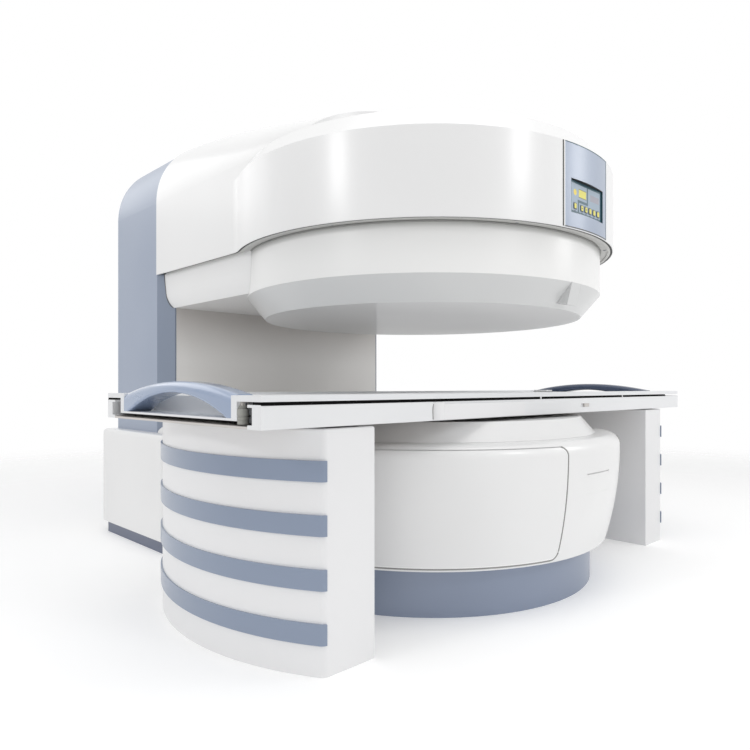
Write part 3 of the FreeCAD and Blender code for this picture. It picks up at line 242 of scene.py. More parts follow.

# %% [markdown]
# The upper pole cover is painted greyer on the cone below its wall and darker where the wall meets
# the ring. Both are painted shade: the cone faces down, and the top of the wall lies in the shadow
# of the ring. Both are masks in height. The band under the ring is broken up with noise, and it
# also raises the roughness.

# %% Upper pole cover with painted shade on its cone and under the ring
DRUM_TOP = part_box("upper_pole_cover")[1][2]
DRUM_FOOT, FOOT_EDGE = 1.100, 0.0014
RING_SHADE_STARTS, RING_SHADE_FULL = 0.026, 0.004
drum = Finish("drum_white", Specular_IOR_Level=0.5, Coat_Weight=0.5, Coat_Roughness=0.2)
drift = drift_over(drum)
wall_paint = drum.mix(drift, srgb(241, 241, 240), srgb(237, 237, 236))
# Painted shade: 1 on the cone below the wall, which faces down.
cone_shade = 1.0 - drum.axis("Z").smooth(DRUM_FOOT - FOOT_EDGE, DRUM_FOOT)
wall_and_cone = drum.mix(cone_shade, wall_paint, srgb(211, 212, 212))
# Painted shade: the top of the wall, in the shadow of the ring, is painted darker.
ring_shade = drum.axis("Z").smooth(DRUM_TOP - RING_SHADE_STARTS, DRUM_TOP - RING_SHADE_FULL)
ring_shade = ring_shade * (0.85 + 0.15 * drum.noise(6.0, 3.0))
drum.set(Base_Color=drum.mix(ring_shade, wall_and_cone, srgb(186, 186, 184)), Roughness=0.34 + 0.2 * ring_shade)
drum.set(Normal=drum.bump(ripple_over(drum)))
drum_white = drum.material
print("dust lies within", RING_SHADE_STARTS, "m of the ring")

# %% [markdown]
# The slanted strips at the column's front are painted darker than its sides, as painted shade on
# the slanted faces. They are one moulding with the sides, so a narrow step in depth changes the
# colour where the bend lies.

# %% Column with painted shade on its strips
STRIP_FRONT = 1.0235
column = Finish("blue_column_strips", Specular_IOR_Level=0.5, Coat_Weight=0.25, Coat_Roughness=0.25)
drift = drift_over(column)
sides = column.mix(drift, srgb(154, 165, 184), srgb(149, 160, 180))
# Painted shade: the darker blue of the slanted strips.
shaded_strips = column.mix(drift, srgb(134, 144, 162), srgb(129, 140, 158))
behind = column.axis("Y").smooth(STRIP_FRONT - 0.001, STRIP_FRONT + 0.0015)
column.set(Base_Color=column.mix(behind, shaded_strips, sides), Roughness=0.36 + 0.05 * drift)
column.set(Normal=column.bump(ripple_over(column)))
blue_column = column.material
print("strips end at a depth of", STRIP_FRONT, "m")

# %% [markdown]
# The table is plainer. Its rails are powder coated, which is a satin finish with a fine regular
# grain, and the bed is a moulded board with a slight texture, so that a sheet doesn't slip. Seals
# and gaskets are moulded too, with a coarser grain. Axles and screws are bare turned metal.

# %% Powder coat, bed board and small parts


def powder(name, colour, shade, rough=0.42, grain=900.0, depth=0.00003):
    """Powder coat or moulded texture: a fine even grain over a slow change of shade."""
    finish = Finish(name, Specular_IOR_Level=0.5)
    drift = finish.noise(3.0)
    fine = finish.noise(grain, 1.0)
    finish.set(Base_Color=finish.mix(drift, colour, shade), Roughness=rough + 0.08 * (fine - 0.5))
    finish.set(Normal=finish.bump(fine, depth))
    return finish.material


def turned_metal(name, colour, rough=0.3):
    """Bright turned or brushed metal with faint tool marks, a fifth darker than the metal."""
    finish = Finish(name, Metallic=1.0)
    marks = finish.noise(400.0, 3.0)
    darker = tuple(0.8 * level for level in colour[:3]) + (1.0,)
    finish.set(Base_Color=finish.mix(marks, colour, darker), Roughness=rough + 0.15 * marks)
    return finish.material


rail_white = powder("rail_white", srgb(234, 235, 236), srgb(228, 229, 231))
bed_white = powder("bed_white", srgb(232, 233, 235), srgb(226, 228, 230), 0.38, 500.0, 0.00005)
frame_metal = powder("frame_metal", srgb(60, 62, 66), srgb(50, 52, 56), 0.5)
roller_grey = powder("roller_grey", srgb(70, 72, 76), srgb(58, 60, 64), 0.45)
axle_steel = turned_metal("axle_steel", srgb(190, 192, 196))
screw_steel = turned_metal("screw_steel", srgb(176, 178, 182), 0.35)
inner_steel = powder("inner_steel", srgb(92, 94, 98), srgb(84, 86, 90), 0.5)
magnet_block = powder("magnet_block", srgb(72, 72, 78), srgb(62, 62, 68), 0.35)
coil_resin = powder("coil_resin", srgb(150, 104, 62), srgb(128, 88, 52), 0.4)
flange_grey = powder("flange_grey", srgb(193, 193, 190), srgb(186, 186, 183), 0.4)
# Black for the head's seal, and for the painted shade at the top of the keypad's opening.
seal_and_shade_black = powder("seal_and_shade_black", srgb(34, 35, 36), srgb(26, 27, 28), 0.55, 600.0, 0.00005)
seal_grey = powder("seal_grey", srgb(92, 92, 90), srgb(80, 80, 78), 0.5, 600.0, 0.00005)
seal_teal = powder("seal_teal", srgb(52, 84, 92), srgb(44, 74, 84), 0.45, 600.0, 0.00004)
# Grey for real joints, and for the bead of painted shade under the ring.
joint_and_shade_grey = powder("joint_and_shade_grey", srgb(150, 150, 148), srgb(142, 142, 140), 0.5)
# The near white of the rolled edges, brighter than the covers beside them, is a painted highlight.
highlight_white = powder("highlight_white", srgb(254, 254, 254), srgb(250, 250, 250), 0.3, 400.0, 0.00002)
buffer_grey = powder("buffer_grey", srgb(168, 168, 162), srgb(150, 150, 145), 0.45)
bracket_grey = powder("bracket_grey", srgb(206, 202, 196), srgb(190, 186, 180), 0.45)
display_glass = powder("display_glass", srgb(176, 174, 184), srgb(160, 160, 172), 0.12)
# A matt black for pieces put where there is only shade: painted shade in the gap under the bed's
# flange and painted shadow under the coil socket.
shade_finish = Finish("painted_shade_black", Roughness=0.9, Specular_IOR_Level=0.1)
mottle = shade_finish.noise(3.0).smooth(0.3, 0.7)
shade_finish.set(Base_Color=shade_finish.mix(mottle, srgb(6, 6, 7), srgb(12, 12, 13)))
painted_shade_black = shade_finish.material
print("small finishes made")

# %% [markdown]
# The keypad is a printed film. Its print is drawn from the same places as the keys: each patch is
# a product of four soft steps, in metres on the face of the film. It has a dark outline, plain
# dividing lines, a plain yellow field, a round amber spot, and a border and a short bar for every
# key. A print made of masks stays sharp however close the camera comes.

# %% Printed film of the keypad
INK_EDGE = 0.0006
KEY_ROW = 1.344
KEY_PLACES = [-0.076] + [-0.030 + 0.0283 * number for number in range(5)]
OUTLINE = (-0.099, 0.099, 1.3275, 1.4195)
DIVIDERS = ((0.004, 0.013, 1.364, 1.4200), (-0.058, 0.013, 1.3595, 1.3685),
            (-0.058, -0.049, 1.3270, 1.3685))
FIELD_EDGE = (-0.0515, 0.0005, 1.3770, 1.4060)
FIELD = (-0.0505, -0.0005, 1.3795, 1.4040)
SPOT_ACROSS, SPOT_UP = -0.0750, 1.3905
SPOT_FULL, SPOT_GONE = 0.0000900, 0.0001250  # squares of the radius
BORDER_HALF_WIDTH, BORDER_HALF_HEIGHT = 0.0112, 0.0117
BAR_HALF, BAR_FOOT, BAR_TOP = 0.0055, 0.0165, 0.0140  # the heights are below the row of keys


def between(value, low, high):
    """1 between two places and 0 outside them, with soft edges."""
    after = value.smooth(low - INK_EDGE, low + INK_EDGE)
    return after * (1.0 - value.smooth(high - INK_EDGE, high + INK_EDGE))


def patch(across, up, left, right, low, high):
    """1 inside a rectangle on the film and 0 outside it."""
    return between(across, left, right) * between(up, low, high)


film = Finish("keypad_film", Specular_IOR_Level=0.5, Coat_Weight=0.3, Coat_Roughness=0.15)
across, up = film.axis("X"), film.axis("Z")
drift = film.noise(18.0)
paint = film.mix(drift, srgb(150, 168, 184), srgb(140, 158, 176))
lines = 1.0 - patch(across, up, *OUTLINE)
for divider in DIVIDERS:
    lines = lines + patch(across, up, *divider)
paint = film.mix(lines, paint, srgb(44, 84, 98))
paint = film.mix(patch(across, up, *FIELD_EDGE), paint, srgb(84, 86, 52))
paint = film.mix(patch(across, up, *FIELD), paint, srgb(222, 214, 84))
spot_x, spot_z = across - SPOT_ACROSS, up - SPOT_UP
spot = 1.0 - (spot_x * spot_x + spot_z * spot_z).smooth(SPOT_FULL, SPOT_GONE)
paint = film.mix(spot, paint, srgb(228, 202, 56))
for middle in KEY_PLACES:
    border = patch(across, up, middle - BORDER_HALF_WIDTH, middle + BORDER_HALF_WIDTH,
                   KEY_ROW - BORDER_HALF_HEIGHT, KEY_ROW + BORDER_HALF_HEIGHT)
    paint = film.mix(border, paint, srgb(74, 88, 104))
    bar = patch(across, up, middle - BAR_HALF, middle + BAR_HALF,
                KEY_ROW - BAR_FOOT, KEY_ROW - BAR_TOP)
    paint = film.mix(bar, paint, srgb(58, 66, 96))
film.set(Base_Color=paint, Roughness=0.32 + 0.06 * drift)
film.set(Normal=film.bump(film.noise(700.0, 1.0), 0.00002))
keypad_film = film.material
print("film printed with", len(KEY_PLACES), "keys")

# %% [markdown]
# Each key shows a yellow oval in a grey blue surround, and two of them have a short dark dash. The
# oval is a rounded oblong, so distances from its middle are raised to the fourth power instead of
# being squared. One material serves all keys, because it reads its place on the machine.

# %% Printed keys
OVAL_HALF_WIDTH, OVAL_HALF_HEIGHT = 0.0072, 0.0088
OVAL_FULL, OVAL_GONE = 0.75, 1.1  # fourth powers of the share of the half size
DASHED_KEYS = KEY_PLACES[1:3]
DASH_HALF, DASH_FOOT, DASH_TOP = 0.0040, 0.0012, 0.0014

key = Finish("key_film", Specular_IOR_Level=0.5, Coat_Weight=0.3, Coat_Roughness=0.15)
across, up = key.axis("X"), key.axis("Z")


def oval(middle):
    """1 inside the oval of one key and 0 outside it."""
    wide, tall = (across - middle) / OVAL_HALF_WIDTH, (up - KEY_ROW) / OVAL_HALF_HEIGHT
    wide, tall = wide * wide, tall * tall
    return 1.0 - (wide * wide + tall * tall).smooth(OVAL_FULL, OVAL_GONE)


worn = key.noise(90.0, 3.0)
paint = key.mix(worn, srgb(232, 222, 84), srgb(216, 204, 72))
ovals = oval(KEY_PLACES[0])
for middle in KEY_PLACES[1:]:
    ovals = ovals + oval(middle)
paint = key.mix(ovals, srgb(70, 86, 100), paint)
for middle in DASHED_KEYS:
    dash = patch(across, up, middle - DASH_HALF, middle + DASH_HALF,
                 KEY_ROW - DASH_FOOT, KEY_ROW + DASH_TOP)
    paint = key.mix(dash, paint, srgb(58, 56, 40))
key.set(Base_Color=paint, Roughness=0.34 + 0.08 * worn)
key.set(Normal=key.bump(worn, 0.00005))
key_film = key.material
print("keys printed,", len(DASHED_KEYS), "with a dash")

# %% [markdown]
# Every solid of the frame now gets one finish. A table from finish to names is easier to read and
# to change than a line for each solid. Keys, rollers and wheels follow from their names.

# %% Give every solid its finish
FINISHES = {
    white_cover: "lower_pole_cover lower_front_cover left_body_panel right_body_panel "
                 "lower_neck_cover upper_cover arm_underside_cover base_cover_left "
                 "base_cover_right",
    flange_grey: "upper_cover_carrier",
    white_face: "upper_pole_face",
    white_pedestal: "left_pedestal right_pedestal side_grip coil_socket",
    blue_cover: "rear_cover",
    console_blue: "control_panel",
    blue_column: "column_cover_left column_cover_right",
    blue_band: "leg_bands",
    blue_plinth: "base_plinth",
    dark_plinth: "rear_plinth",
    blue_handle: "left_handle",
    shaded_handle_blue: "right_handle",
    inner_steel: "lower_yoke upper_yoke column_yoke lower_pole_piece upper_pole_piece",
    magnet_block: "lower_magnet upper_magnet",
    coil_resin: "lower_gradient_coil upper_gradient_coil",
    column_panel_with_shade: "column_front_panel",
    panel_grey: "rail_latch frame_plate",
    drum_white: "upper_pole_cover positioning_lamp",
    rail_white: "front_rail rear_rail",
    frame_metal: "lateral_guides",
    bed_white: "bed_board bed_top",
    axle_steel: "roller_axles",
    keypad_film: "keypad_bezel",
    display_glass: "display_window",
}
finish_of = {name: material for material, names in FINISHES.items() for name in names.split()}
for name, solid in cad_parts.items():
    if name.startswith("key_"):
        finish_of[name] = key_film
    if "roller_" in name and name != "roller_axles" or "wheel" in name:
        finish_of[name] = roller_grey
    solid.data.materials.clear()
    solid.data.materials.append(finish_of[name])
print("finished", len(finish_of), "solids")

# %% [markdown]
# Small things that the camera sees come next: seals, trim, screws and marks on the rails. Turned
# pieces are spun and blocks are bevelled cubes. No operator carries a section along an outline
# that shrinks with its inset, or a bead along a line in space, so `swept` and `tube` place their
# own rows of points and `skin` joins each row to the next.

# %% Ways of making a piece
TUBE_SIDES = 8
NEARLY_UPRIGHT = 0.95


def finished(name, form, body, material, smooth=True):
    """Makes the bmesh a piece that rides on a body."""
    bmesh.ops.recalc_face_normals(form, faces=form.faces)
    mesh = bpy.data.meshes.new(name)
    form.to_mesh(mesh)
    form.free()
    for face in mesh.polygons:
        face.use_smooth = smooth
    mesh.materials.append(material)
    made = bpy.data.objects.new(name, mesh)
    bpy.context.scene.collection.objects.link(made)
    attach(made, body)


def spun(form, outline, centre, angle, steps, whole=False):
    """Spins vertices, edges and faces about an upright line; whole closes a full turn."""
    bmesh.ops.spin(form, geom=outline, cent=centre, axis=(0, 0, 1), angle=angle, steps=steps,
                   use_merge=whole, use_duplicate=False)


def skin(form, rows, around):
    """Joins each row of vertices to the next with faces; around closes the rows on themselves."""
    for first, second in zip(rows, rows[1:]):
        count = len(first)
        for a in range(count if around else count - 1):
            b = (a + 1) % count
            form.faces.new((first[a], first[b], second[b], second[a]))


def swept(name, path, section, body, material):
    """Carries a closed section along a path; path(inset) gives the points of that inset."""
    form = bmesh.new()
    rows = [[form.verts.new((x, y, height)) for x, y in path(inset)] for inset, height in section]
    skin(form, rows + rows[:1], around=False)
    form.faces.new([row[0] for row in rows])
    form.faces.new([row[-1] for row in reversed(rows)])
    finished(name, form, body, material)


def tube(name, points, radius, body, material):
    """A thin round bead along points in space."""
    form = bmesh.new()
    spots = [Vector(point) for point in points]
    turns = [2 * math.pi * step / TUBE_SIDES for step in range(TUBE_SIDES)]
    rings = []
    for index, spot in enumerate(spots):
        along = (spots[min(index + 1, len(spots) - 1)] - spots[max(index - 1, 0)]).normalized()
        upright = abs(along.z) > NEARLY_UPRIGHT
        side = (along.orthogonal() if upright else along.cross(Vector((0, 0, 1)))).normalized()
        up = side.cross(along).normalized()
        rings.append([form.verts.new(spot + radius * (math.cos(turn) * side + math.sin(turn) * up))
                      for turn in turns])
    skin(form, rings, around=True)
    form.faces.new(rings[0])
    form.faces.new(list(reversed(rings[-1])))
    finished(name, form, body, material)


def block(name, low, high, body, material, bevel):
    """A small block with bevelled edges."""
    form = bmesh.new()
    bmesh.ops.create_cube(form, size=1.0)
    for vert in form.verts:
        vert.co = [near + (share + 0.5) * (far - near)
                   for near, share, far in zip(low, vert.co, high)]
    bmesh.ops.bevel(form, geom=form.edges[:], offset=bevel, segments=2, affect="EDGES",
                    profile=0.5, material=-1)
    finished(name, form, body, material, smooth=False)


print("ways of making a piece: spun, swept, tube, block")

# %% [markdown]
# A screw is a low dome with a cross recess. The dome is a short outline spun through a full turn.
# The cross starts as a closed line in the dome's flat top, its walls are that line extruded down,
# and a fill closes the ring between the cross and the dome.

# %% Screw
DOME = ((1.0, 0.0), (1.0, 0.25), (0.86, 0.42), (0.6, 0.5))  # shares of the radius: out, up
DOME_SIDES = 16
CROSS_ARM, CROSS_HALF, CROSS_DEEP = 0.48, 0.11, 0.3


def screw(name, spot, outward, radius, body, slot_turn):
    """A domed screw head with a cross recess, facing outward."""
    form = bmesh.new()
    outline = [form.verts.new((share * radius, 0.0, high * radius)) for share, high in DOME]
    outline += [form.edges.new(pair) for pair in zip(outline, outline[1:])]
    spun(form, outline, (0, 0, 0), 2 * math.pi, DOME_SIDES, whole=True)
    top = DOME[-1][1] * radius
    arm, half = CROSS_ARM * radius, CROSS_HALF * radius
    cross = [(half, half), (arm, half), (arm, -half), (half, -half), (half, -arm), (-half, -arm),
             (-half, -half), (-arm, -half), (-arm, half), (-half, half), (-half, arm), (half, arm)]
    rim = [form.verts.new((x, y, top)) for x, y in cross]
    rim_edges = [form.edges.new((rim[a - 1], rim[a])) for a in range(len(rim))]
    walls = bmesh.ops.extrude_edge_only(form, edges=rim_edges)["geom"]
    foot = [part for part in walls if isinstance(part, bmesh.types.BMVert)]
    foot_edges = [part for part in walls if isinstance(part, bmesh.types.BMEdge)]
    bmesh.ops.translate(form, verts=foot, vec=(0, 0, -CROSS_DEEP * radius))
    bmesh.ops.edgeloop_fill(form, edges=foot_edges)
    flat = [edge for edge in form.edges if edge.is_boundary
            and all(abs(vert.co.z - top) < 0.01 * radius for vert in edge.verts)]
    bmesh.ops.triangle_fill(form, edges=flat, use_beauty=True)
    facing = Vector(outward).to_track_quat("Z", "Y").to_matrix().to_4x4()
    place = Matrix.Translation(spot) @ facing @ Matrix.Rotation(slot_turn, 4, "Z")
    bmesh.ops.transform(form, matrix=place, verts=form.verts)
    finished(name, form, body, screw_steel, smooth=False)


print("a screw's dome has", DOME_SIDES, "sides")

# %% [markdown]
# Under the head, the white cover ends in a thin rolled lip. A black seal lies inside it, then comes
# the grey ring that carries the cover, with a screw every 47 degrees. All three follow one outline,
# a round head that blends into a straight neck. `rim_path` draws it as far in as a piece needs.
# A section is a list of (inset, height) pairs.

# %% Lip, seal and ring under the head
HEAD_RADIUS = 0.775
NECK_HALF = 0.7056
NECK_BLEND = 0.150
NECK_END = 0.9435
COVER_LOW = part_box("upper_cover")[0][2]
BLEND_STEPS, HEAD_STEPS = 6, 120


def rim_path(inset):
    """The outline of the head and its neck, drawn the given distance further in."""
    radius, half, blend = HEAD_RADIUS - inset, NECK_HALF - inset, NECK_BLEND + inset
    centre_x = half + blend
    centre_y = math.sqrt((radius + blend) ** 2 - centre_x ** 2)
    points = [(-half, NECK_END), (-half, (NECK_END + centre_y) / 2)]
    meet = math.atan2(centre_y, centre_x)
    for step in range(BLEND_STEPS + 1):
        turn = meet * step / BLEND_STEPS
        points.append((-centre_x + blend * math.cos(turn), centre_y - blend * math.sin(turn)))
    left_side = list(points)
    for step in range(1, HEAD_STEPS):
        turn = math.pi - meet + (math.pi + 2 * meet) * step / HEAD_STEPS
        points.append((radius * math.cos(turn), radius * math.sin(turn)))
    return points + [(-x, y) for x, y in reversed(left_side)]


def round_section(inset, height, across, tall, count=10):
    """An oval section about a middle."""
    turns = [2 * math.pi * step / count for step in range(count)]
    return [(inset + across * math.cos(turn), height + tall * math.sin(turn)) for turn in turns]


lip = round_section(0.0018, COVER_LOW - 0.0006, 0.0016, 0.0022)
swept("cover_lip", rim_path, lip, "magnet_and_stand", white_cover)
seal = [(0.0034, COVER_LOW - 0.0002), (0.0034, COVER_LOW - 0.0022),
        (0.0100, COVER_LOW - 0.0018), (0.0100, COVER_LOW - 0.0002)]
swept("cover_seal", rim_path, seal, "magnet_and_stand", seal_and_shade_black)
ring = [(0.0100, COVER_LOW), (0.0100, COVER_LOW - 0.0024), (0.0118, COVER_LOW - 0.0040),
        (0.0200, COVER_LOW - 0.0040), (0.0225, COVER_LOW - 0.0022), (0.0225, COVER_LOW)]
swept("carrier_ring", rim_path, ring, "magnet_and_stand", flange_grey)

SCREW_CIRCLE, SCREW_RADIUS = 0.7445, 0.0055
SCREW_TURNS = [-70.5, -23.5, 23.5, 70.5]
for number, turn in enumerate(SCREW_TURNS):
    angle = math.radians(turn)
    spot = (SCREW_CIRCLE * math.sin(angle), -SCREW_CIRCLE * math.cos(angle), COVER_LOW - 0.0002)
    screw(f"carrier_screw_{number + 1}", spot, (0, 0, -1), SCREW_RADIUS, "magnet_and_stand", angle)
print("rim pieces made, with", len(SCREW_TURNS), "screws")

# %% [markdown]
# A grey bead lies in the joint between the ring and the upper pole cover. Its grey is painted
# shade:
# with the darker top of the wall it stands for the shadow under the ring. It is the same all the
# way round, so its small section is spun through a full turn just outside the cover's wall.

# %% Bead of painted shade round the upper pole cover
DRUM_BEAD_RADIUS = 0.7272
DRUM_BEAD_STEPS = 144
form = bmesh.new()
section = [(0.0, 0.0002), (0.0, 0.0060), (0.0008, 0.0056), (0.0036, 0.0002)]  # out, down
corners = [form.verts.new((DRUM_BEAD_RADIUS + out, 0.0, COVER_LOW - down)) for out, down in section]
edges = [form.edges.new((corners[a - 1], corners[a])) for a in range(len(corners))]
spun(form, corners + edges, (0, 0, 0), 2 * math.pi, DRUM_BEAD_STEPS, whole=True)
# Painted shade: the grey bead under the ring.
finished("drum_shade_bead", form, "magnet_and_stand", joint_and_shade_grey)
print("drum seal at", DRUM_BEAD_RADIUS, "m")

# %% [markdown]
# The control panel sits in the round wall between a dark grey seal at its left and foot, a rolled
# edge beside the left one, painted pale as a painted highlight, and thin teal seals at its top and
# right. Each is a strip on the wall, made by spinning its section through the angle that it covers.

# %% Trim round the control panel
PANEL_HALF = 10.9
PANEL_TOP = 1.547
WALL_OUT = HEAD_RADIUS + 0.0003
STRIP_THICK, STRIP_CHAMFER = 0.0012, 0.00036
STRIP_STEP = 0.6


def curved_strip(name, left, right, low, high, material):
    """A strip on the head's round wall, between two angles in degrees from the front."""
    form = bmesh.new()
    start = math.radians(left)
    section = [(WALL_OUT - STRIP_THICK, low), (WALL_OUT, low + STRIP_CHAMFER),
               (WALL_OUT, high - STRIP_CHAMFER), (WALL_OUT - STRIP_THICK, high)]
    corners = [form.verts.new((reach * math.sin(start), -reach * math.cos(start), height))
               for reach, height in section]
    end = form.faces.new(corners)
    steps = max(2, int((right - left) / STRIP_STEP))
    spun(form, corners + list(end.edges) + [end], (0, 0, 0), math.radians(right - left), steps)
    finished(name, form, "magnet_and_stand", material, smooth=False)


panel_low = COVER_LOW + 0.001
CONSOLE_STRIPS = {  # between two angles, between two heights, finish
    "console_seal_left": (-PANEL_HALF - 0.42, -PANEL_HALF + 0.10, panel_low, PANEL_TOP, seal_grey),
    # Its pale finish is a painted highlight along the panel's left edge.
    "console_edge_left": (-PANEL_HALF + 0.12, -PANEL_HALF + 0.45, panel_low, PANEL_TOP, highlight_white),
    "console_seal_right": (PANEL_HALF - 0.28, PANEL_HALF + 0.08, panel_low, PANEL_TOP, seal_teal),
    "console_seal_top": (-PANEL_HALF, PANEL_HALF, PANEL_TOP - 0.0035, PANEL_TOP, seal_teal),
    "console_seal_low": (-PANEL_HALF, PANEL_HALF, COVER_LOW + 0.0005, COVER_LOW + 0.0045,
                         seal_grey),
}
for name, strip in CONSOLE_STRIPS.items():
    curved_strip(name, *strip)
print("trim made round a panel of", 2 * PANEL_HALF, "degrees")

# %% [markdown]
# The keypad is flat and lies behind the round wall, so its opening has thin walls. The black liner
# at its top is painted shade: it stands for the shadow of the opening's top edge, the dark wedge
# above the keypad. The teal liners at its sides show as two thin lines. Each wall is an outline in
# plan that is extruded upwards.

# %% Liners in the keypad's opening, with painted shade at the top
bezel_low, bezel_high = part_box("keypad_bezel")
LINER_THICK = 0.0011
WALL_IN = HEAD_RADIUS - 0.0002
SLACK = 0.0001
OPENING_STEPS = 24


def liner(name, spots, low, high, material):
    """A thin wall of the keypad's opening: an outline in plan, drawn up from low to high."""
    form = bmesh.new()
    foot = form.faces.new([form.verts.new((x, y, low)) for x, y in spots])
    drawn = bmesh.ops.extrude_face_region(form, geom=[foot])["geom"]
    top = [part for part in drawn if isinstance(part, bmesh.types.BMVert)]
    bmesh.ops.translate(form, verts=top, vec=(0, 0, high - low))
    finished(name, form, "magnet_and_stand", material, smooth=False)


half_opening = bezel_high[0] - SLACK
face_y = bezel_low[1] - SLACK
front_edge = [half_opening * (2 * step / OPENING_STEPS - 1) for step in range(OPENING_STEPS + 1)]
wall_line = [(x, -math.sqrt(WALL_IN ** 2 - x * x)) for x in front_edge]
# Painted shade: a black liner along the opening's top.
liner("keypad_top_shade", wall_line + [(half_opening, face_y), (-half_opening, face_y)],
      bezel_high[2] - LINER_THICK, bezel_high[2] + 0.0002, seal_and_shade_black)
wall_y = wall_line[0][1]
for side, name in ((-1, "left"), (1, "right")):
    outer, inner = side * half_opening, side * (half_opening - LINER_THICK)
    corner = [(outer, wall_y), (inner, wall_y), (inner, face_y), (outer, face_y)]
    liner(f"keypad_gasket_{name}", corner, bezel_low[2], bezel_high[2] - LINER_THICK, seal_teal)
print("keypad opening is", round(2 * half_opening, 4), "m wide")

# %% [markdown]
# The inset panels of the lower body lie in rubber seals. The body's side is a long arc that ends in
# the rounded shoulder, so `body_radius` gives its radius at any height, and the seal follows it.
# Along a panel's top the frame's own joint shows as a fine line, so the outline is left open there.
# A thin bead inside each seal is the panel's rolled edge; its near white, brighter than the panel,
# is a painted highlight.

# %% Seals round the lower body's panels
SIDE_CENTRE = (-0.42565, 0.51644)
SIDE_RADIUS = 1.225
SHOULDER_CENTRE = (0.7574, 0.520)
SHOULDER_RADIUS = 0.042
PANEL_RADIUS = 0.79
PANEL_LOW, PANEL_HIGH, PANEL_BEND = 0.1725, 0.5465, 0.030
SEAL_SUNK, SEAL_STEP = 0.0014, 0.02
SEAL_RADIUS, EDGE_RADIUS = 0.0034, 0.0025
EDGE_TURN, EDGE_INSET, EDGE_TIGHTER = 0.36, 0.0045, 0.004
CORNER_STEPS, CORNER_TURN = 6, 15


def body_radius(height):
    """The radius of the lower body at a height."""
    if height > SHOULDER_CENTRE[1]:
        reach = math.sqrt(SHOULDER_RADIUS ** 2 - (height - SHOULDER_CENTRE[1]) ** 2)
        return SHOULDER_CENTRE[0] + reach
    return SIDE_CENTRE[0] + math.sqrt(SIDE_RADIUS ** 2 - (height - SIDE_CENTRE[1]) ** 2)


def panel_outline(start, end, low, high, bend):
    """The two sides and the foot of a rounded panel, between two angles in degrees."""
    left, right = sorted(math.radians(turn) * PANEL_RADIUS for turn in (start, end))
    corners = [(left + bend, high - bend, 90), (left + bend, low + bend, 180),
               (right - bend, low + bend, 270), (right - bend, high - bend, 0)]
    flat = []
    for across, height, first_turn in corners:
        for step in range(CORNER_STEPS + 1):
            turn = math.radians(first_turn + CORNER_TURN * step)
            flat.append(Vector((across + bend * math.cos(turn), height + bend * math.sin(turn))))
    points = []
    for spot, next_spot in zip(flat, flat[1:]):
        steps = max(1, int((next_spot - spot).length / SEAL_STEP))
        for step in range(steps):
            across, height = spot.lerp(next_spot, step / steps)
            turn, reach = across / PANEL_RADIUS, body_radius(height) - SEAL_SUNK
            points.append((reach * math.sin(turn), -reach * math.cos(turn), height))
    return points


for side, start, end in (("left", -11.4, -79.2), ("right", 27.1, 79.2)):
    seam = panel_outline(start, end, PANEL_LOW, PANEL_HIGH, PANEL_BEND)
    tube(f"{side}_panel_seal", seam, SEAL_RADIUS, "magnet_and_stand", joint_and_shade_grey)
    inward = math.copysign(EDGE_TURN, end)
    edge = panel_outline(start + inward, end - inward, PANEL_LOW + EDGE_INSET,
                         PANEL_HIGH - EDGE_INSET, PANEL_BEND - EDGE_TIGHTER)
    # The edge's near white is a painted highlight.
    tube(f"{side}_panel_edge", edge, EDGE_RADIUS, "magnet_and_stand", highlight_white)
    print(side, "panel seal has", len(seam), "points")

# %% [markdown]
# The table: a black strip lies on each rail, just under the bed's flange, with a thin lip along its
# outer edge and two small white clips on the front one. The black strips and lips are painted shade
# in the dark gap between the rail and the flange. The strips stop short of the rail's right end. A
# low black rim round the coil socket's foot is painted shadow under the socket, and a fine curved
# seam marks the left end of the side grip. Most of these are plain bars, so a bevelled cube is
# enough.

# %% Strips of painted shade, clips and other marks on the table
rail_low, rail_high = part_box("front_rail")
back_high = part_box("rear_rail")[1]
FLANGE_UNDER = 0.704
STRIP_OUT, STRIP_IN, LIP_PROUD = 0.0014, 0.0360, 0.0007
SHADE_STRIP_LEFT, SHADE_STRIP_RIGHT = rail_low[0] + 0.0006, rail_high[0] - 0.155
CLIP_PLACES, CLIP_HALF = [0.0092, 0.671], 0.0032
SOCKET_RIM = 0.002

# Painted shade: the black strips and their lips fill the gap under the bed's flange.
for name, face, inward in (("front", rail_low[1], 1), ("rear", back_high[1], -1)):
    near, far = sorted((face + inward * STRIP_OUT, face + inward * STRIP_IN))
    block(f"{name}_wiper", (SHADE_STRIP_LEFT, near, rail_high[2] - 0.0002),
          (SHADE_STRIP_RIGHT, far, FLANGE_UNDER - 0.0004), "bed_frame", painted_shade_black, 0.0005)
    near, far = sorted((face - inward * LIP_PROUD, face + inward * (STRIP_OUT + 0.0002)))
    block(f"{name}_wiper_lip", (SHADE_STRIP_LEFT, near, rail_high[2] - 0.0016),
          (SHADE_STRIP_RIGHT, far, rail_high[2] + 0.0012), "bed_frame", painted_shade_black, 0.0003)
for number, x in enumerate(CLIP_PLACES):
    block(f"wiper_clip_{number + 1}", (x - CLIP_HALF, rail_low[1] - 0.0012, rail_high[2] - 0.0020),
          (x + CLIP_HALF, rail_low[1] + 0.0016, FLANGE_UNDER - 0.0006), "bed_frame", rail_white,
          0.0004)
socket_low, socket_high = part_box("coil_socket")
# Painted shadow: a black rim round the foot of the coil socket.
block("socket_foot_shade",
      (socket_low[0] - SOCKET_RIM, socket_low[1] - SOCKET_RIM, socket_low[2] - 0.0002),
      (socket_high[0] + SOCKET_RIM, socket_high[1] + SOCKET_RIM, socket_low[2] + 0.0022),
      "bed", painted_shade_black, 0.0004)

